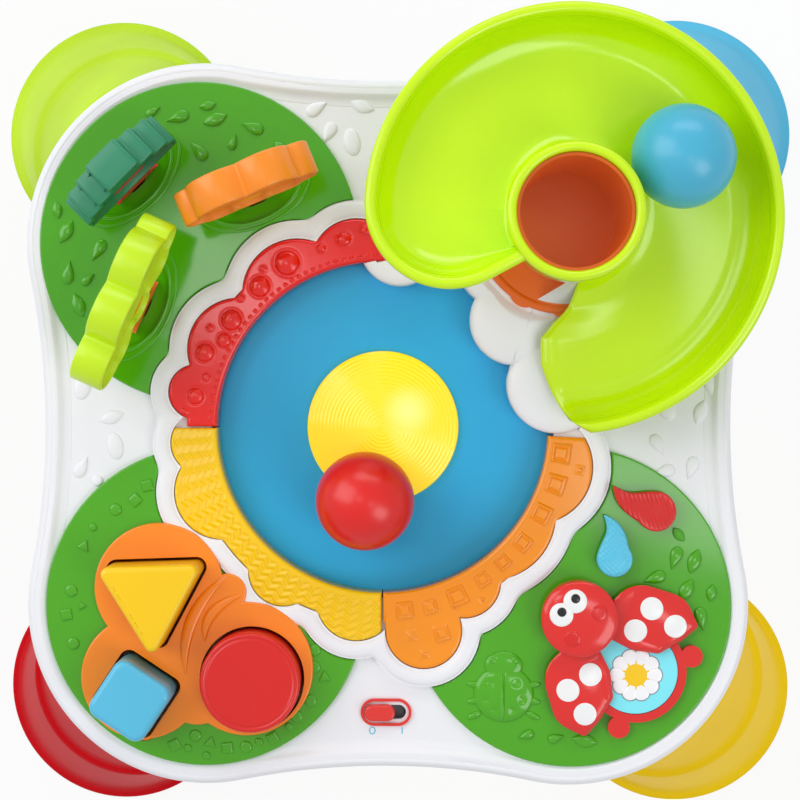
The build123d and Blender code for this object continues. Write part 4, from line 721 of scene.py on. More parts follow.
# %% [markdown]
# ## Spiral slide
# The slide is one lime moulding: a channel that falls round a tube, with a rolled rim.  It could be
# lofted, but a section carried along a path is exact: in each row the outer edge is a point of the
# plan, the wall is measured inwards from it, and the floor runs on to the nearest point of the tube,
# where a fillet lifts it.  The last rows shear, so that the mouth ends in a round lip.

# %% Slide dimensions
TOWER = np.array([97.0, 109.0])
TUBE_OUTER, TUBE_INNER = 33.3, 30.0
SLIDE_START, SLIDE_END, FALL_END = 176.0, -83.0, -112.0
SLIDE_TOP, SLIDE_LOW = 66.0, 9.0
WIDE_TOP, WIDE_LOW = 106.0, 114.0
LANDING_CORNER, STRAIGHT = 43.0, 28.0
LANDING_WAY = 28.0  # direction of the landing's closed end
SWEEP, RIM_BEAD, SIDE_TALL, FLOOR_THICK, OUTSIDE = 19.4, 6.6, 19.0, 3.0, 3.4
NARROW_ROWS = 36  # rows in which the sweep shrinks on the way to the tube
FILLET, LANDING_FILLET, FILLET_ROWS = 14.0, 2.0, 70
LIP_ROUND, LIP_REACH, LIP_ROWS = 4.0, 75.0, 100
LIP = np.array([  # reach from the tower, direction where the mouth ends there
    (33, -80), (45, -88), (54, -97), (63, -102), (77, -99.5), (94, -93.5), (106, -89), (114, -83)])

# %% Path of the outer edge
run = np.hstack([np.linspace(SLIDE_END, SLIDE_END + 4, 14)[:-1], np.linspace(SLIDE_END + 4, SLIDE_START, 250)])
fallen = (SLIDE_START - run) / (SLIDE_START - FALL_END)
run_reach = WIDE_TOP + (WIDE_LOW - WIDE_TOP) * fallen
bend = np.linspace(SLIDE_START, LANDING_WAY + 270, 70)[1:]
corner_middle = TOWER + unit(SLIDE_START) * (WIDE_TOP - LANDING_CORNER)
corner = corner_middle + unit(bend) * LANDING_CORNER
straight = corner[-1] + np.linspace(0, STRAIGHT, 18)[1:, None] * unit(LANDING_WAY)
edge = np.concatenate([TOWER + unit(run) * run_reach[:, None], corner, straight])
inward = -unit(np.concatenate([run, bend, np.full(len(straight), bend[-1])]))
floor_z = np.full(len(edge), DECK_Z + SLIDE_TOP)
floor_z[:len(run)] += (SLIDE_LOW - SLIDE_TOP) * fallen

# %% Section: rim and wall
lift = np.linspace(np.pi / 2, 0, 26)
curl = np.linspace(np.pi, 0, 13)
wall = np.concatenate([  # inset from the outer edge, height above the floor
    [(2.2, 13.5), (0.5, 13.8), (0.0, 15.0)],
    np.stack([3.0 + 3.0 * np.cos(curl), SIDE_TALL + 2.6 * np.sin(curl)], -1),
    [(6.15, SIDE_TALL - 0.7), (6.5, SIDE_TALL - 1.0)],
    np.stack([RIM_BEAD + SWEEP * (1 - np.sin(lift)), (SIDE_TALL - 1.3) * (1 - np.cos(lift))], -1)])
under_reach = RIM_BEAD + SWEEP - OUTSIDE
under_in = np.interp(np.linspace(0, 1, len(wall)), (0, 0.25, 1), (0, 1.2, under_reach))
under_z = -FLOOR_THICK + 16.5 * fall(1 - under_in / under_reach)

# %% Floor to the tube, and the same below
ease = np.linspace(0, 1, NARROW_ROWS)
narrow = np.ones((len(edge), 1))
narrow[-NARROW_ROWS:, 0] = 1 - 0.9 * ease ** 2 * (3 - 2 * ease)
wall_in = np.minimum(wall[:, 0], RIM_BEAD) + np.maximum(wall[:, 0] - RIM_BEAD, 0) * narrow
below_in = OUTSIDE + under_in * narrow
foot = edge + inward * (RIM_BEAD + SWEEP * narrow)
across = foot - TOWER
tube_point = TOWER + across / np.hypot(*across.T)[:, None] * (TUBE_INNER + 1.6)
wall_plan = edge[:, None] + inward[:, None] * wall_in[..., None]
floor_plan = foot[:, None] + (tube_point - foot)[:, None] * np.linspace(0, 1, 46)[1:, None]
under_plan = edge[:, None] + inward[:, None] * below_in[..., None]
plan = np.concatenate([wall_plan, floor_plan, floor_plan[:, ::-1], under_plan[:, ::-1]], 1)
fillet = np.full((len(edge), 1), LANDING_FILLET)
fillet[:len(run)] = FILLET
fillet[len(run) - FILLET_ROWS:len(run), 0] = np.linspace(FILLET, LANDING_FILLET, FILLET_ROWS)
away = np.hypot(*(floor_plan - TOWER).transpose(2, 0, 1)) - TUBE_OUTER
raised = fillet * fall(1 - away / fillet)
height = floor_z[:, None] + np.concatenate([
    np.broadcast_to(wall[:, 1], wall_in.shape), raised, np.full_like(raised, -FLOOR_THICK),
    np.broadcast_to(under_z[::-1], wall_in.shape)], 1)

# %% Round lip at the mouth, and no point inside the tube
from_tower = plan - TOWER
reach = np.maximum(np.hypot(*from_tower.transpose(2, 0, 1)), TUBE_INNER + 1.2)
late = np.zeros((len(edge), 1))
late[:LIP_ROWS, 0] = np.linspace(1, 0, LIP_ROWS) ** 1.5
shear = np.radians(np.interp(reach, LIP[:, 0], LIP[:, 1]) - SLIDE_END) * late
over = fall(1 - np.radians(run - SLIDE_END) * LIP_REACH / LIP_ROUND)
height[:len(run), :wall_in.shape[1] + raised.shape[1]] -= 2.5 * over[:, None]
channel = polar(TOWER, reach, np.arctan2(from_tower[..., 1], from_tower[..., 0]) + shear, height)
tube_profile = [
    (TUBE_OUTER, 391), (TUBE_OUTER, 424), (34.3, 425.2), (35.0, 427), (34.6, 428.8), (33.2, 429.8),
    (31.4, 429.9), (30.2, 429.1), (29.7, 427.8), (29.9, 426), (TUBE_INNER, 424), (TUBE_INNER, 391)]
piece("lime_slide", [skin(channel), lathe(tube_profile, TOWER, 160)], "slide_lime", replaces=("spiral_slide",))

# %% [markdown]
# ## Cloud
# The tower stands on a low cloud of round puffs.  It is a height field about the tower's axis: in each
# direction the edge is the farthest puff met, and the height is the highest puff there, so the
# valleys between them come by themselves.  A thin ring lies on the foot of the orange chute, where the
# cloud leaves room for it.

# %% Puffs as a height field
PUFFS = np.array([  # x, y, radius
    (7.4, 98.7, 22.5), (62.0, 88.0, 23.0), (70.7, 57.5, 25.0), (93.2, 22.3, 27.2), (30.0, 122.0, 22.0),
    (54.0, 146.0, 24.0), (92.0, 158.0, 24.0), (132.0, 146.0, 24.0), (148.0, 108.0, 24.0), (134.0, 70.0, 26.0),
    (97.0, 109.0, 56.0), (40.0, 104.0, 22.0)])
PUFF_HEIGHT = 6.4
CLOUD_HOLE = 30.0
FLANGE_CLEAR, CLEAR_EDGE = 51.0, 8.0
EXIT_WAY, EXIT_WIDE, EXIT_RISE = 228.0, 34.0, 3.0  # puffs stand higher in front of the chute

turn = full_turn(640)[:, None]
edge_reach = met(circle(640), PUFFS - (*TOWER, 0)).max(-1)[:, None]
reach = CLOUD_HOLE + (edge_reach - CLOUD_HOLE) * np.sin(np.linspace(0, np.pi / 2, 110))
plan = polar(TOWER, reach, turn, 0)[..., :2]
off = np.hypot(*(plan[..., None] - PUFFS[:, :2].T).transpose(2, 0, 1, 3)) / PUFFS[:, 2]
tall = PUFF_HEIGHT + EXIT_RISE * np.exp(-((np.degrees(turn) - EXIT_WAY) / EXIT_WIDE) ** 4)
puff = np.max(tall[..., None] * np.clip(1 - off ** 2, 0, 1) ** 0.28, -1)
flat = np.clip((reach - FLANGE_CLEAR) / CLEAR_EDGE, 0, 1)
puff = np.minimum(puff, 4.9 + 5 * np.sin(flat * np.pi / 2))

# %% Cut where the play well and the red arc are
from_play = (plan - PLAY).transpose(2, 0, 1)
play_reach = np.hypot(*from_play)
play_angle = np.degrees(np.arctan2(*from_play[::-1])) % 360
taken = ((play_angle > RED_START + 0.1) & (play_angle < YELLOW_START) & (play_reach > PLAY_RADIUS + 0.1)
         & (play_reach < scalloped(play_angle, RED_SCALLOPS) + 0.3))
puff = np.where(taken, -4.0, puff)
under = np.where(play_reach < PLAY_RADIUS + 3, FLOOR_Z - DECK_Z, np.minimum(puff - 0.5, -0.5))
cloud = plate(np.dstack([plan, DECK_Z + puff]), DECK_Z + under, ring=True)
piece("cloud", [cloud], "white_shell", replaces=("tower_base",))
RING_PROFILE = ((44.0, 345.1), (48.0, 345.1), (48.6, 346.4), (48.0, 347.15), (44.0, 347.15))
# The ring shares the chute's finish, including its small glow of painted light.
piece("chute_ring", [lathe(RING_PROFILE, TOWER, 160)], "chute_orange")

# %% [markdown]
# ## Legs
# Each leg flares from a socket under the deck to a wide round foot, in bands with a small ledge where
# one ends.  It is a stack of circles: the middle moves outwards in a straight line on the way down, and
# the radius comes from a list of (share of the height, radius) that drops within a few shares at each
# ledge.

# %% Four splayed legs
FOOT_CENTRE, LEG_TOP_CENTRE = 204.0, 118.0
FOOT_RADIUS = 85.0
FLANGE_HIGH, SOCKET_Z = 9.0, 258.0
FLANGE = np.array([(-1.6, 0.0), (-0.4, 0.6), (0.0, 4.0), (-0.4, 7.0), (-1.5, 8.6)])  # radius, height
LEG_BANDS = np.array([  # share of the height, radius of the leg
    (0.0, 82.2), (0.014, 79.2), (0.03, 78.4), (0.205, 73.6), (0.215, 73.0), (0.222, 70.0), (0.232, 69.2),
    (0.45, 62.6), (0.458, 62.0), (0.464, 59.2), (0.475, 58.5), (0.71, 51.6), (0.718, 51.0), (0.724, 48.6),
    (0.735, 48.0), (1.0, 39.6)])


def leg(side_x, side_y):
    """Flange, bands and roof of one leg as a stack of circles."""
    share = np.unique(np.concatenate([LEG_BANDS[:, 0], np.linspace(0, 1, 60)]))
    radius = np.interp(share, *LEG_BANDS.T)
    height = FLANGE_HIGH + (SOCKET_Z - FLANGE_HIGH) * share
    middle = FOOT_CENTRE + (LEG_TOP_CENTRE - FOOT_CENTRE) * np.append(np.zeros(len(FLANGE)), share)
    profile = np.vstack([FLANGE + (FOOT_RADIUS, 0), np.stack([radius, height], -1)])
    return lathe(profile, middle[:, None, None] * (side_x, side_y), 160, ring=False)


for corner, side_x, side_y, slot in (("back_left", -1, 1, "leg_lime"), ("back_right", 1, 1, "leg_blue"),
                                     ("front_left", -1, -1, "leg_red"), ("front_right", 1, -1, "leg_yellow")):
    piece("flared_leg_" + corner, [leg(side_x, side_y)], slot, replaces=("leg_" + corner,))

# %% [markdown]
# ## Lens and balls
# The lens in the play well is a low cap with rings pressed into it, which spread the light of the lamps
# below.  Its height is the cap's, plus a sine of the distance from the middle.

# %% Ringed lens
LENS_RADIUS, LENS_HIGH, LENS_EDGE = 42.0, 9.0, 2.5
LENS_RINGS = 2.1
AXIS_GAP = 0.3

reach = np.linspace(AXIS_GAP, LENS_RADIUS - 0.3, 150)
bulge = LENS_EDGE + (LENS_HIGH - LENS_EDGE) * (1 - (reach / LENS_RADIUS) ** 2)
rings = 0.1 * np.sin(2 * np.pi * reach / LENS_RINGS) - 0.1
profile = np.vstack([[(AXIS_GAP, FLOOR_Z - 0.5), (LENS_RADIUS, FLOOR_Z - 0.5), (LENS_RADIUS, FLOOR_Z + 1.8)],
                     np.stack([reach, FLOOR_Z + bulge + rings], -1)[::-1]])
piece("ringed_lens", [lathe(profile, PLAY, 192, ring=False)], "lens_yellow", replaces=("light_dome",))

# %% Two balls
BALL_RADIUS = 26.7

for colour in ("blue", "red"):
    node = colour + "_ball"
    middle = sum(box_of(node)) / 2
    lift = np.radians(np.linspace(-89, 89, 90))
    profile = np.stack([BALL_RADIUS * np.cos(lift), middle[2] + BALL_RADIUS * np.sin(lift)], -1)
    sphere = lathe(profile, middle[:2], 160, ring=False)
    piece("loose_ball_" + colour, [sphere], "ball_" + colour, node, (node,))

# %% [markdown]
# ## Play blocks
# The blocks are hollow mouldings with a generously rounded top edge.  Their plans are taut outlines
# round a few circles, and the side walls are stacks of that outline, drawn in near the top.

# %% Three blocks
BLOCK_FOOT = 324.3
PLAIN_TOP = ((0.5, 0.0),)  # borders: step inwards, lift
RINGED_TOP = ((0.4, 0.0), (0.9, -0.5), (1.5, -0.5), (2.0, 0.0), (2.4, 0.0))


def block_levels(tall, edge, border):
    """Side wall, quarter-round edge, and the border of the flat top."""
    bend = np.linspace(0, np.pi / 2, 9)
    levels = [(2.0, tall - 3.0), (2.0, 0.0), (0.0, 0.0), (0.0, tall - edge)]
    levels += [(edge * (1 - np.cos(b)), tall - edge + edge * np.sin(b)) for b in bend[1:]]
    levels += [(edge + step, tall + lift) for step, lift in border]
    return [(depth, BLOCK_FOOT + height) for depth, height in levels]


def corners_of(count, reach, radius, turn, middle):
    """Circles at the corners of a regular figure."""
    places = middle + reach * unit(turn + np.arange(count) * 360 / count)
    return np.column_stack([places, np.full(count, radius)])


TRIANGLE_SIDE, TRIANGLE_SOFT = 58.0, 4.0
SQUARE_SIDE, SQUARE_SOFT = 35.0, 6.5
DISC_RADIUS = 27.2

corner_reach = TRIANGLE_SIDE / np.sqrt(3) - 2 * TRIANGLE_SOFT
triangle = hull(corners_of(3, corner_reach, TRIANGLE_SOFT, -88.0, (-125.8, -91.6)), 0.4)
corner_reach = (SQUARE_SIDE - 2 * SQUARE_SOFT) / np.sqrt(2)
square = hull(corners_of(4, corner_reach, SQUARE_SOFT, 45 - 33.4, (-137.5, -148.0)), 0.4)
disc = circle(192) * DISC_RADIUS + (-73.8, -139.4)
for name, outline, tall, edge, border, slot, node in (
        ("yellow_triangle", triangle, 49.0, 2.8, PLAIN_TOP, "block_yellow", "triangle_block"),
        ("blue_square", square, 46.0, 3.2, PLAIN_TOP, "block_blue", "square_block"),
        ("red_disc", disc, 36.0, 1.8, RINGED_TOP, "block_red", "round_block")):
    piece(name, [skin(solid(outline, block_levels(tall, edge, border)))], slot, node, (node,))

# %% [markdown]
# ## Tree crowns
# A crown is a thick plate with a wavy outline and a recessed face on both sides.  The outline is drawn
# upright, in (across, up): the pine is a few steps, and on the others the farthest circle met gives the
# edge in each direction.  A stack of that outline then runs through the thickness, and the whole is
# stood up at its place.

# %% Crown outlines
CROWN_THICK, CROWN_LIP, CROWN_DEEP = 18.0, 2.6, 3.2
PIVOT_Z, CROWN_LOW, CROWN_HIGH = 328.0, 38.0, 82.0
TREES = {  # x, y, direction of the width, width
    "pine": (-140.3, 135.6, 45.0, 72.0), "orange_tree": (-73.2, 127.2, 22.5, 70.0),
    "lime_tree": (-136.9, 66.5, 65.7, 93.0)}
BUMPS = {  # across, up, radius as shares of the width and half height
    "orange_tree": ((-0.40, -0.22, 0.42), (-0.17, 0.22, 0.78), (0.17, 0.22, 0.78), (0.40, -0.15, 0.48)),
    "lime_tree": ((-0.35, -0.10, 0.72), (-0.08, 0.20, 0.80), (0.21, 0.14, 0.84), (0.40, -0.25, 0.45))}
LOWER_BUMPS = ((-0.27, -0.55, 0.45), (0.0, -0.55, 0.45), (0.27, -0.55, 0.45))
TIERS = ((0.90, 0, 12), (0.80, 12, 20), (0.56, 20, 28), (0.30, 28, 36.5))  # share of the width, low, high


def bumpy(name):
    """Farthest bump met in each direction from the crown's middle, softened, then walked evenly."""
    tall = (CROWN_HIGH - CROWN_LOW) / 2
    way = circle(720)
    reach = met(way, np.array(BUMPS[name] + LOWER_BUMPS) * (TREES[name][3], tall, tall)).max(-1)
    return rounded(way * reach[:, None] + (0, CROWN_LOW + tall), 0.9, 320)


def stepped():
    """Pine: four tiers, each narrower than the one below, with softly rounded corners."""
    half = TREES["pine"][3] / 2
    right = [(half * share, CROWN_LOW + up) for share, low, high in TIERS for up in (low, high)]
    left = [(-across, up) for across, up in right[::-1]]
    return rounded(np.array(right + left), 1.3, 320)


# %% Crowns in place
def crown(name, outline, slot):
    """Outline carried through the thickness: recessed face, rounded lip, edge, and the same behind."""
    half, lip, deep = CROWN_THICK / 2, CROWN_LIP, CROWN_DEEP
    side = [(lip + 0.5, half - deep), (lip + 0.1, half - deep), (lip - 0.4, half - 0.4), (lip - 0.9, half),
            (0.9, half), (0.3, half - 0.3), (0.0, half - 1.0)]
    rows = solid(outline, side + [(depth, -through) for depth, through in side[::-1]])
    x, y, turn, _ = TREES[name]
    plan = turned(rows[..., ::2], turn, (x, y))
    stood = np.dstack([plan, PIVOT_Z + rows[..., 1]])
    piece(name + "_top", [skin(stood)], slot, name, (name + "_crown",))


crown("pine", stepped(), "crown_pine")
crown("orange_tree", bumpy("orange_tree"), "crown_orange")
crown("lime_tree", bumpy("lime_tree"), "crown_lime")

# %% [markdown]
# ## Rings round the trunks
# Two thin raised ovals circle each trunk on the green panel.  A bead carried along an ellipse gives
# them, half sunk in the panel.

# %% Ovals
PANEL_Z = 343.0

ovals = [bead(turned(circle(144) * size, turn, (x, y)), PANEL_Z, 0.9, 0.5)
         for x, y, turn, _ in TREES.values() for size in ((33.0, 18.5), (28.0, 15.5))]
piece("trunk_ovals", ovals, "panel_green")

# %% [markdown]
# ## Garden keys and ladybug
# Two keys are drops with a bent tail, one finely ribbed and one pebbled.  A drop is a strip across a
# bowed line, and narrows towards its tip.  The ladybug's head and wings are low domes on their outlines.
# The eyes, cheeks and spots are thin patches that take the height of the dome below them, so that they
# lie on it everywhere.

# %% Bent drops
KEY_LOW, KEY_BASE, KEY_DOME, KEY_EDGE = 346.0, 350.2, 1.5, 1.6
TEXTURE, RIB_PITCH, PEBBLE_PITCH = 0.32, 2.3, 2.9


def comma(middle, tip, radius, bow, texture):
    """Strip across a bowed line from the round end to the tip.  Its half width is a half circle's at the
    round end and then shrinks in a line, and its height is a quarter circle's at the edges."""
    middle, tip = np.array(middle), np.array(tip)
    reach = np.hypot(*(tip - middle))
    along = (tip - middle) / reach
    run = -radius + (reach + radius) * (1 - np.cos(np.linspace(0, np.pi, 110))) / 2
    lean = np.clip(run / reach, 0, 1)
    bowed = bow * np.sin(np.pi * lean ** 1.3)
    line = middle + along * run[:, None] + np.array([-along[1], along[0]]) * bowed[:, None]
    round_end = np.sqrt(np.maximum(radius ** 2 - run ** 2, 0))
    stand = np.where(run < 0, round_end, radius * (1 - lean) ** 0.8)[:, None] + 0.05
    turn = np.linspace(0, np.pi, 41)
    plan = band_of(line, stand, turn)
    edge = np.minimum(np.sin(turn) * 1.6, 1) * np.minimum(1, stand / 2.5)
    high = KEY_BASE + KEY_DOME * np.sin(turn) * np.minimum(1, stand / 6)
    high = high - KEY_EDGE * fall(1 - edge) + texture(plan[..., 0], plan[..., 1]) * edge
    return plate(np.dstack([plan, high]), KEY_LOW)


def ribs(x, y):
    """Fine ribs that lean a little."""
    return TEXTURE * np.sin((x + y * 0.3) * 2 * np.pi / RIB_PITCH)


def pebbles(x, y):
    """Crossed sines make small round lumps."""
    return TEXTURE * np.sin(x * 2 * np.pi / PEBBLE_PITCH) * np.sin(y * 2 * np.pi / PEBBLE_PITCH)


for colour, *drop in (("red", (146.6, -46.6), (123.8, -33.0), 10.9, 3.2, ribs),
                      ("blue", (124.3, -72.6), (118.8, -49.0), 9.7, -3.4, pebbles)):
    piece(colour + "_key_top", [comma(*drop)], "key_" + colour, colour + "_drop_button")

# %% Head, eyes and cheeks
BUG_AXIS = -45.5
HEAD_AT = np.array([105.0, -105.0])
HEAD_RADIUS = 20.7
HEAD_LOW, HEAD_SHOULDER, HEAD_CROWN = 352.3, 355.0, 3.6
EYE_APART, EYE_FORWARD = 5.2, 9.0


def head_top(x, y):
    """Height of the domed head."""
    off = np.hypot(x - HEAD_AT[0], y - HEAD_AT[1]) / HEAD_RADIUS
    return HEAD_SHOULDER + HEAD_CROWN * cap(off, 2.6)


def pair(radius, forward, apart, shift=0.0, count=72):
    """Circles on both sides of the head; forward is away from the wings, shift is to one side."""
    front = HEAD_AT - unit(BUG_AXIS) * forward
    return [circle(count) * radius + front + unit(BUG_AXIS + 90) * (side * apart + shift) for side in (-1, 1)]


head = mound(circle(160) * HEAD_RADIUS + HEAD_AT, HEAD_SHOULDER,
             lambda x, y, share: head_top(x, y) - HEAD_SHOULDER, HEAD_SHOULDER - HEAD_LOW, 26)
piece("domed_head", [head], "bug_red", "ladybug_head")
eyes = [patch(eye, head_top, 0.7) for eye in pair(6.4, EYE_FORWARD, EYE_APART)]
piece("round_eyes", eyes, "eye_white", "ladybug_head", ("ladybug_eyes",))
pupils = [patch(pupil, lambda x, y: head_top(x, y) + 0.75, 0.25)
          for pupil in pair(2.5, EYE_FORWARD + 1.0, EYE_APART, 1.2, 48)]
piece("round_pupils", pupils, "pupil_black", "ladybug_head", ("ladybug_pupils",))
cheeks = [patch(cheek, head_top, 0.5) for cheek in pair(4.4, -4.5, 10.2, 0.0, 64)]
piece("cheeks", cheeks, "key_red", "ladybug_head")

# %% Domed wings with spots
WING_ROUNDS = np.array([  # along the wing, across it, radius
    (0.0, 0.0, 4.5), (19.5, 11.0, 18.0), (32.0, 15.0, 14.5), (47.3, 17.0, 2.2), (33.0, -1.5, 3.0)])
WING_BASE, WING_THICK, WING_OPEN = 346.8, 2.6, 25.5
WING_EDGE = 1.0
SPOTS = ((18.3, 3.6), (22.4, 18.0), (37.6, 13.4))


def wing_rise(x, y):
    """Low dome of the wing, zero near the pin, so that the head passes over it."""
    return 2.2 * np.clip(1 - ((x - 32) / 21) ** 2, 0, 1) * np.clip(1 - ((np.abs(y) - 11) / 18) ** 2, 0, 1)


def wing(name, side):
    """Wing plate and its spots, drawn along the wing and then turned to where it stands."""
    pin = HEAD_AT + unit(BUG_AXIS) * 11.5 + unit(BUG_AXIS + 90 * side) * 6.0
    node = "wing_" + name

    def stand(points, quads):
        plan = turned(points[:, :2], BUG_AXIS + side * WING_OPEN, pin)
        return np.column_stack([plan, points[:, 2] + WING_BASE]), quads

    def rise(x, y, share):
        return WING_EDGE * cap(share, 6) + wing_rise(x, y) * np.clip(8 * (1 - share), 0, 1)

    outline = hull(WING_ROUNDS * (1, side, 1), 0.5, 240)
    cover = mound(outline, WING_THICK - WING_EDGE, rise, WING_THICK - WING_EDGE, 30)
    piece("domed_" + node, [stand(*cover)], "bug_red", node, (node,))
    spots = [patch(circle(56) * 6.2 + (x, side * y), lambda x, y: WING_THICK + wing_rise(x, y), 0.25)
             for x, y in SPOTS]
    piece("spots_" + node, [stand(*spot) for spot in spots], "eye_white", node, ("wing_spots_" + name,))


wing("left", -1)
wing("right", 1)

# %% Daisy
DAISY_AT = np.array([136.5, -136.8])
DISC_TOP = 346.0
PETAL_REACH, NOTCH = 14.4, 1.9

petal_edge = PETAL_REACH - NOTCH * (1 - np.abs(np.cos(full_turn(480) * 5)) ** 0.6)
flower = circle(480) * petal_edge[:, None] + DAISY_AT


def petals(x, y, share):
    """Petals: a full round edge, and a crease between each two that fades at the edge."""
    way = np.arctan2(y - DAISY_AT[1], x - DAISY_AT[0])
    crease = np.exp(-(np.cos(way * 5) / 0.24) ** 2)
    return 0.55 * cap(share, 5) - 0.4 * crease * np.clip(3 * (1 - share) + 0.25, 0, 1)


piece("daisy_petals", [mound(flower, DISC_TOP, petals, 0.5, 24)], "flower_white", replaces=("daisy",))
eye = mound(circle(120) * 7.8 + DAISY_AT, DISC_TOP + 0.25, dome(0.45, 2.4), 0.6, 14)
piece("daisy_eye", [eye], "block_yellow")
piece("daisy_line", [bead(inset(flower, -0.1), DISC_TOP, 0.3)], "inner_grey")

# %% [markdown]
# ## Small reliefs
# The mould has low shapes all over the panels and the deck: leaves and drops, squares, discs and
# triangles, and a beetle.  Each is a mound on its own small outline.

# %% Outlines of the small shapes
SMALL = 56  # points on a small outline


def tapered(long, wide, thin):
    """Oval whose width is thinned by a function of the turn, with softened corners."""
    turn = full_turn(SMALL)
    return rounded(np.stack([long / 2 * np.cos(turn), wide / 2 * np.sin(turn) * thin(turn)], -1), 0.25, SMALL)


def drop_shape(long, wide):
    """Drop whose tip points along x: thinned towards the tip."""
    return tapered(long, wide, lambda turn: 1.15 * np.sin(turn / 2) ** 1.3)


def leaf_shape(long, wide):
    """Leaf: pointed at both ends."""
    return tapered(long, wide, lambda turn: np.abs(np.sin(turn)))


def figure(count, size):
    """Regular figure with softened corners."""
    return rounded(size / 2 * unit(45 + np.arange(count) * 360 / count), 0.35, SMALL)


def reliefs(name, base, shapes, slot, height=1.9, full=2.4):
    """All the small shapes of one surface as one piece: (outline, x, y, direction)."""
    piece(name, [mound(turned(outline, way, (x, y)), base, dome(height, full), 0.4, 8)
                 for outline, x, y, way in shapes], slot)


drop, small_drop = drop_shape(13.5, 8.4), drop_shape(9.5, 6.0)
leaf, small_leaf = leaf_shape(14.5, 7.6), leaf_shape(10.0, 5.8)
wedge, small_wedge = figure(3, 8.5), figure(3, 6.0)
box = figure(4, 9.0)
dot, small_dot = circle(SMALL) * 3.4, circle(SMALL) * 2.2
oval = circle(72) * (7.5, 4.6)

# %% Leaves on the tree panel, drops on the garden panel
reliefs("tree_panel_leaves", PANEL_Z, (
    (drop, -114.7, 168.6, 200), (leaf, -93.9, 167.5, 20), (drop, -73.6, 163.1, 160),
    (drop, -103.2, 150.5, 130), (leaf, -176.1, 106.1, 60), (drop, -158.5, 95.7, 240),
    (drop, -175.0, 83.7, 80), (leaf, -169.5, 65.6, 110), (small_drop, -128.0, 172.0, 30),
    (small_leaf, -181.0, 118.0, 100), (small_drop, -84.0, 155.0, 70), (small_leaf, -58.0, 152.0, 140),
    (small_drop, -164.0, 80.0, 40), (small_leaf, -98.0, 175.0, 10)), "panel_green")
reliefs("garden_panel_drops", PANEL_Z, (
    (drop, 158.2, -73.1, 250), (leaf, 168.6, -74.7, 70), (drop, 146.7, -84.0, 200),
    (leaf, 164.3, -90.6, 60), (drop, 172.5, -106.5, 280), (leaf, 108.9, -173.4, 170),
    (small_drop, 76.6, -170.6, 200), (small_leaf, 178.0, -92.0, 80), (small_drop, 93.0, -172.0, 20),
    (small_leaf, 160.0, -60.0, 130)), "panel_green")

# %% Squares, discs and triangles on the sorter panel
reliefs("sorter_panel_shapes", PANEL_Z, (
    (box, -131.7, -33.6, 15), (box, -138.3, -41.5, 40), (dot, -149.2, -46.8, 0),
    (small_dot, -161.8, -56.6, 0), (wedge, -166.8, -67.1, 20), (dot, -173.9, -91.7, 0),
    (box, -176.6, -104.8, 10), (small_wedge, -168.0, -100.0, 70), (dot, -172.8, -120.8, 0),
    (dot, -39.6, -124.1, 0), (dot, -39.6, -133.4, 0), (wedge, -34.0, -139.0, 50), (dot, -41.8, -152.0, 0),
    (dot, -49.5, -160.8, 0), (small_dot, -53.9, -166.3, 0), (dot, -105.4, -171.6, 0),
    (wedge, -97.0, -175.6, 30), (small_dot, -109.6, -178.4, 0), (box, -116.9, -176.8, 25),
    (small_dot, -99.3, -182.5, 0), (box, -87.8, -178.3, 5), (dot, -77.4, -177.7, 0),
    (small_dot, -70.2, -174.9, 0), (box, -62.6, -172.7, 30)), "panel_green", 1.1, 4.0)

# %% Shapes on the white deck
reliefs("deck_shapes", DECK_Z, (
    (drop, 149.2, -11.3, 300), (drop, 167.4, -23.9, 250), (oval, 153.1, 9.1, 120), (leaf, 172.3, 6.9, 70),
    (drop, 152.0, -26.0, 200), (oval, -168.0, 21.0, 80), (leaf, -152.0, 4.0, 20),
    (oval, -150.0, -12.0, 100), (drop, -168.4, -23.3, 60), (dot, -160.0, -31.0, 0),
    (drop, -38.1, 173.9, 30), (leaf, -13.4, 175.0, 160), (oval, -18.9, 155.2, 100),
    (drop, -32.0, 160.0, 240), (leaf, 4.0, 160.0, 60), (small_drop, 20.0, 172.0, 10),
    (leaf, 178.0, 22.0, 100), (small_drop, 165.0, 34.0, 200)), "white_shell", 1.5)

# %% Beetle on the garden panel
BEETLE_AT = np.array([64.4, -143.8])
BACK_AT = BEETLE_AT - (0, 4)


def wing_cases(x, y, share):
    """Round back with a line down the middle and two rows of sunken spots."""
    along, aside = y - BACK_AT[1], np.abs(x - BACK_AT[0])
    spots = sum(np.exp(-((aside - out) ** 2 + (along - up) ** 2) / 3.2)
                for out, up in ((7, 6), (10, -3), (5, -9)))
    return 3.0 * cap(share, 2.4) - 0.9 * np.exp(-(aside / 0.55) ** 2) * (share < 0.97) - 0.7 * spots


beetle = [mound(circle(160) * (16.5, 15.5) + BACK_AT, PANEL_Z, wing_cases, 0.4, 26),
          mound(circle(120) * (10.5, 8.0) + BEETLE_AT + (0, 11.5), PANEL_Z, dome(2.2, 2.4), 0.4, 12)]
for side in (-1, 1):
    eye = circle(40) * 2.0 + BEETLE_AT + (side * 6.0, 14.5)
    beetle.append(mound(eye, PANEL_Z + 1.5, dome(0.9), 0.4, 6))
    for along in (5.0, -4.0, -12.0):
        foot = turned(circle(40) * (4.2, 1.8), side * along * 2, BACK_AT + (side * 16.2, along))
        beetle.append(mound(foot, PANEL_Z, dome(1.2), 0.4, 6))
piece("beetle_relief", beetle, "panel_green")

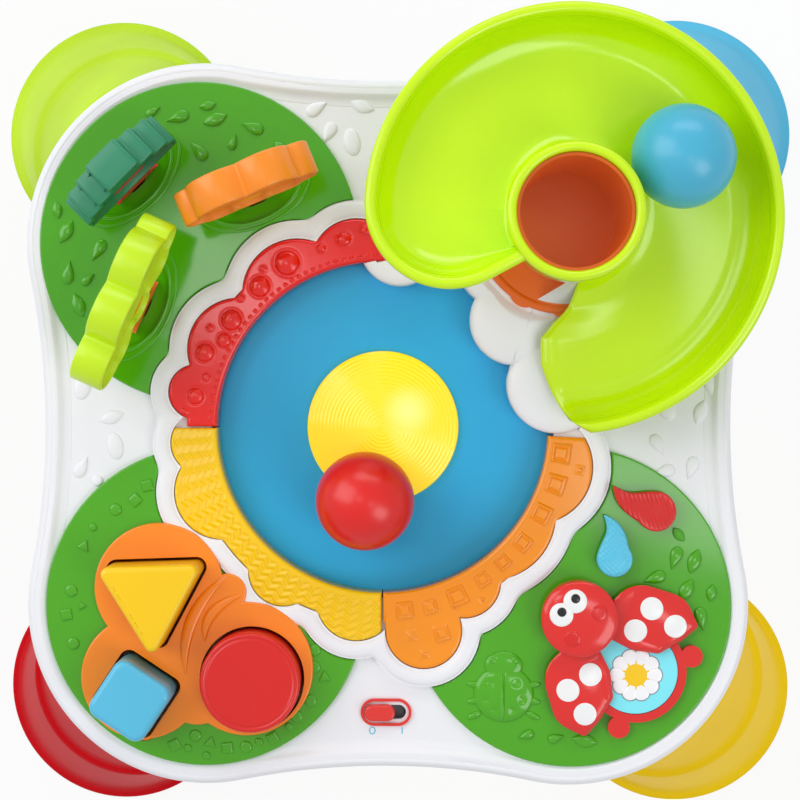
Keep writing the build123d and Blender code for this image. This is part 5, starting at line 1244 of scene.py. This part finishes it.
# %% Folds on the sorter plate, and switch marks
PLATE_Z = 346.5
FOLDS = (  # start, middle and end of each fold, half width
    ((-110.2, -137.0), (-106.5, -107.0), (-87.1, -82.4), 3.4),
    ((-99.3, -119.0), (-95.5, -103.5), (-78.5, -93.0), 3.0))


def fold(start, middle, end, half):
    """Crescent along a parabola through three points, as wide as the sine of the share run."""
    start, middle, end = (np.array(place) for place in (start, middle, end))
    share = np.linspace(0, 1, 60)[:, None]
    pull = 2 * middle - (start + end) / 2
    line = start * (1 - share) ** 2 + pull * 2 * share * (1 - share) + end * share ** 2
    bow = np.linspace(0, np.pi, 15)
    stand = half * np.sin(np.pi * share) ** 0.7 + 0.1
    high = PLATE_Z + 1.7 * np.sin(bow) * np.sin(np.pi * share) ** 0.6
    return plate(np.dstack([band_of(line, stand, bow), high]), PLATE_Z - 0.4)


piece("plate_folds", [fold(*places) for places in FOLDS], "sorter_orange")
bar = rounded(np.array([(8.3, -170.9), (8.9, -170.9), (8.9, -167.1), (8.3, -167.1)]), 0.1, 40)
marks = [bead(circle(48) * (1.5, 1.9) + (-7.9, -169.0), DECK_Z, 0.32, 0.6, 8),
         mound(bar, DECK_Z, dome(0.25, 4.0), 0.2, 4)]
piece("switch_marks", marks, "key_blue")

# %% [markdown]
# ## Rubber domes under the keys
# Each key stands on a rubber dome.

for key, joint in (("head", "ladybug_head_press"), ("red_drop", "red_drop_button_press"),
                   ("blue_drop", "blue_drop_button_press")):
    low, high = box_of(key + "_pad")
    middle, radius, tall = (low + high)[:2] / 2, (high - low)[0] / 2, (high - low)[2]
    profile = [(AXIS_GAP, low[2]), (radius, low[2]), (radius, low[2] + 1.0), (radius * 0.86, low[2] + 1.5),
               (radius * 0.6, low[2] + tall * 0.6), (radius * 0.52, high[2] - 0.5), (radius * 0.46, high[2]),
               (AXIS_GAP, high[2])]
    dome_piece = piece(key + "_dome", [lathe(profile, middle, 64, ring=False)], "pad_rubber",
                       replaces=(key + "_pad",))
    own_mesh(dome_piece)
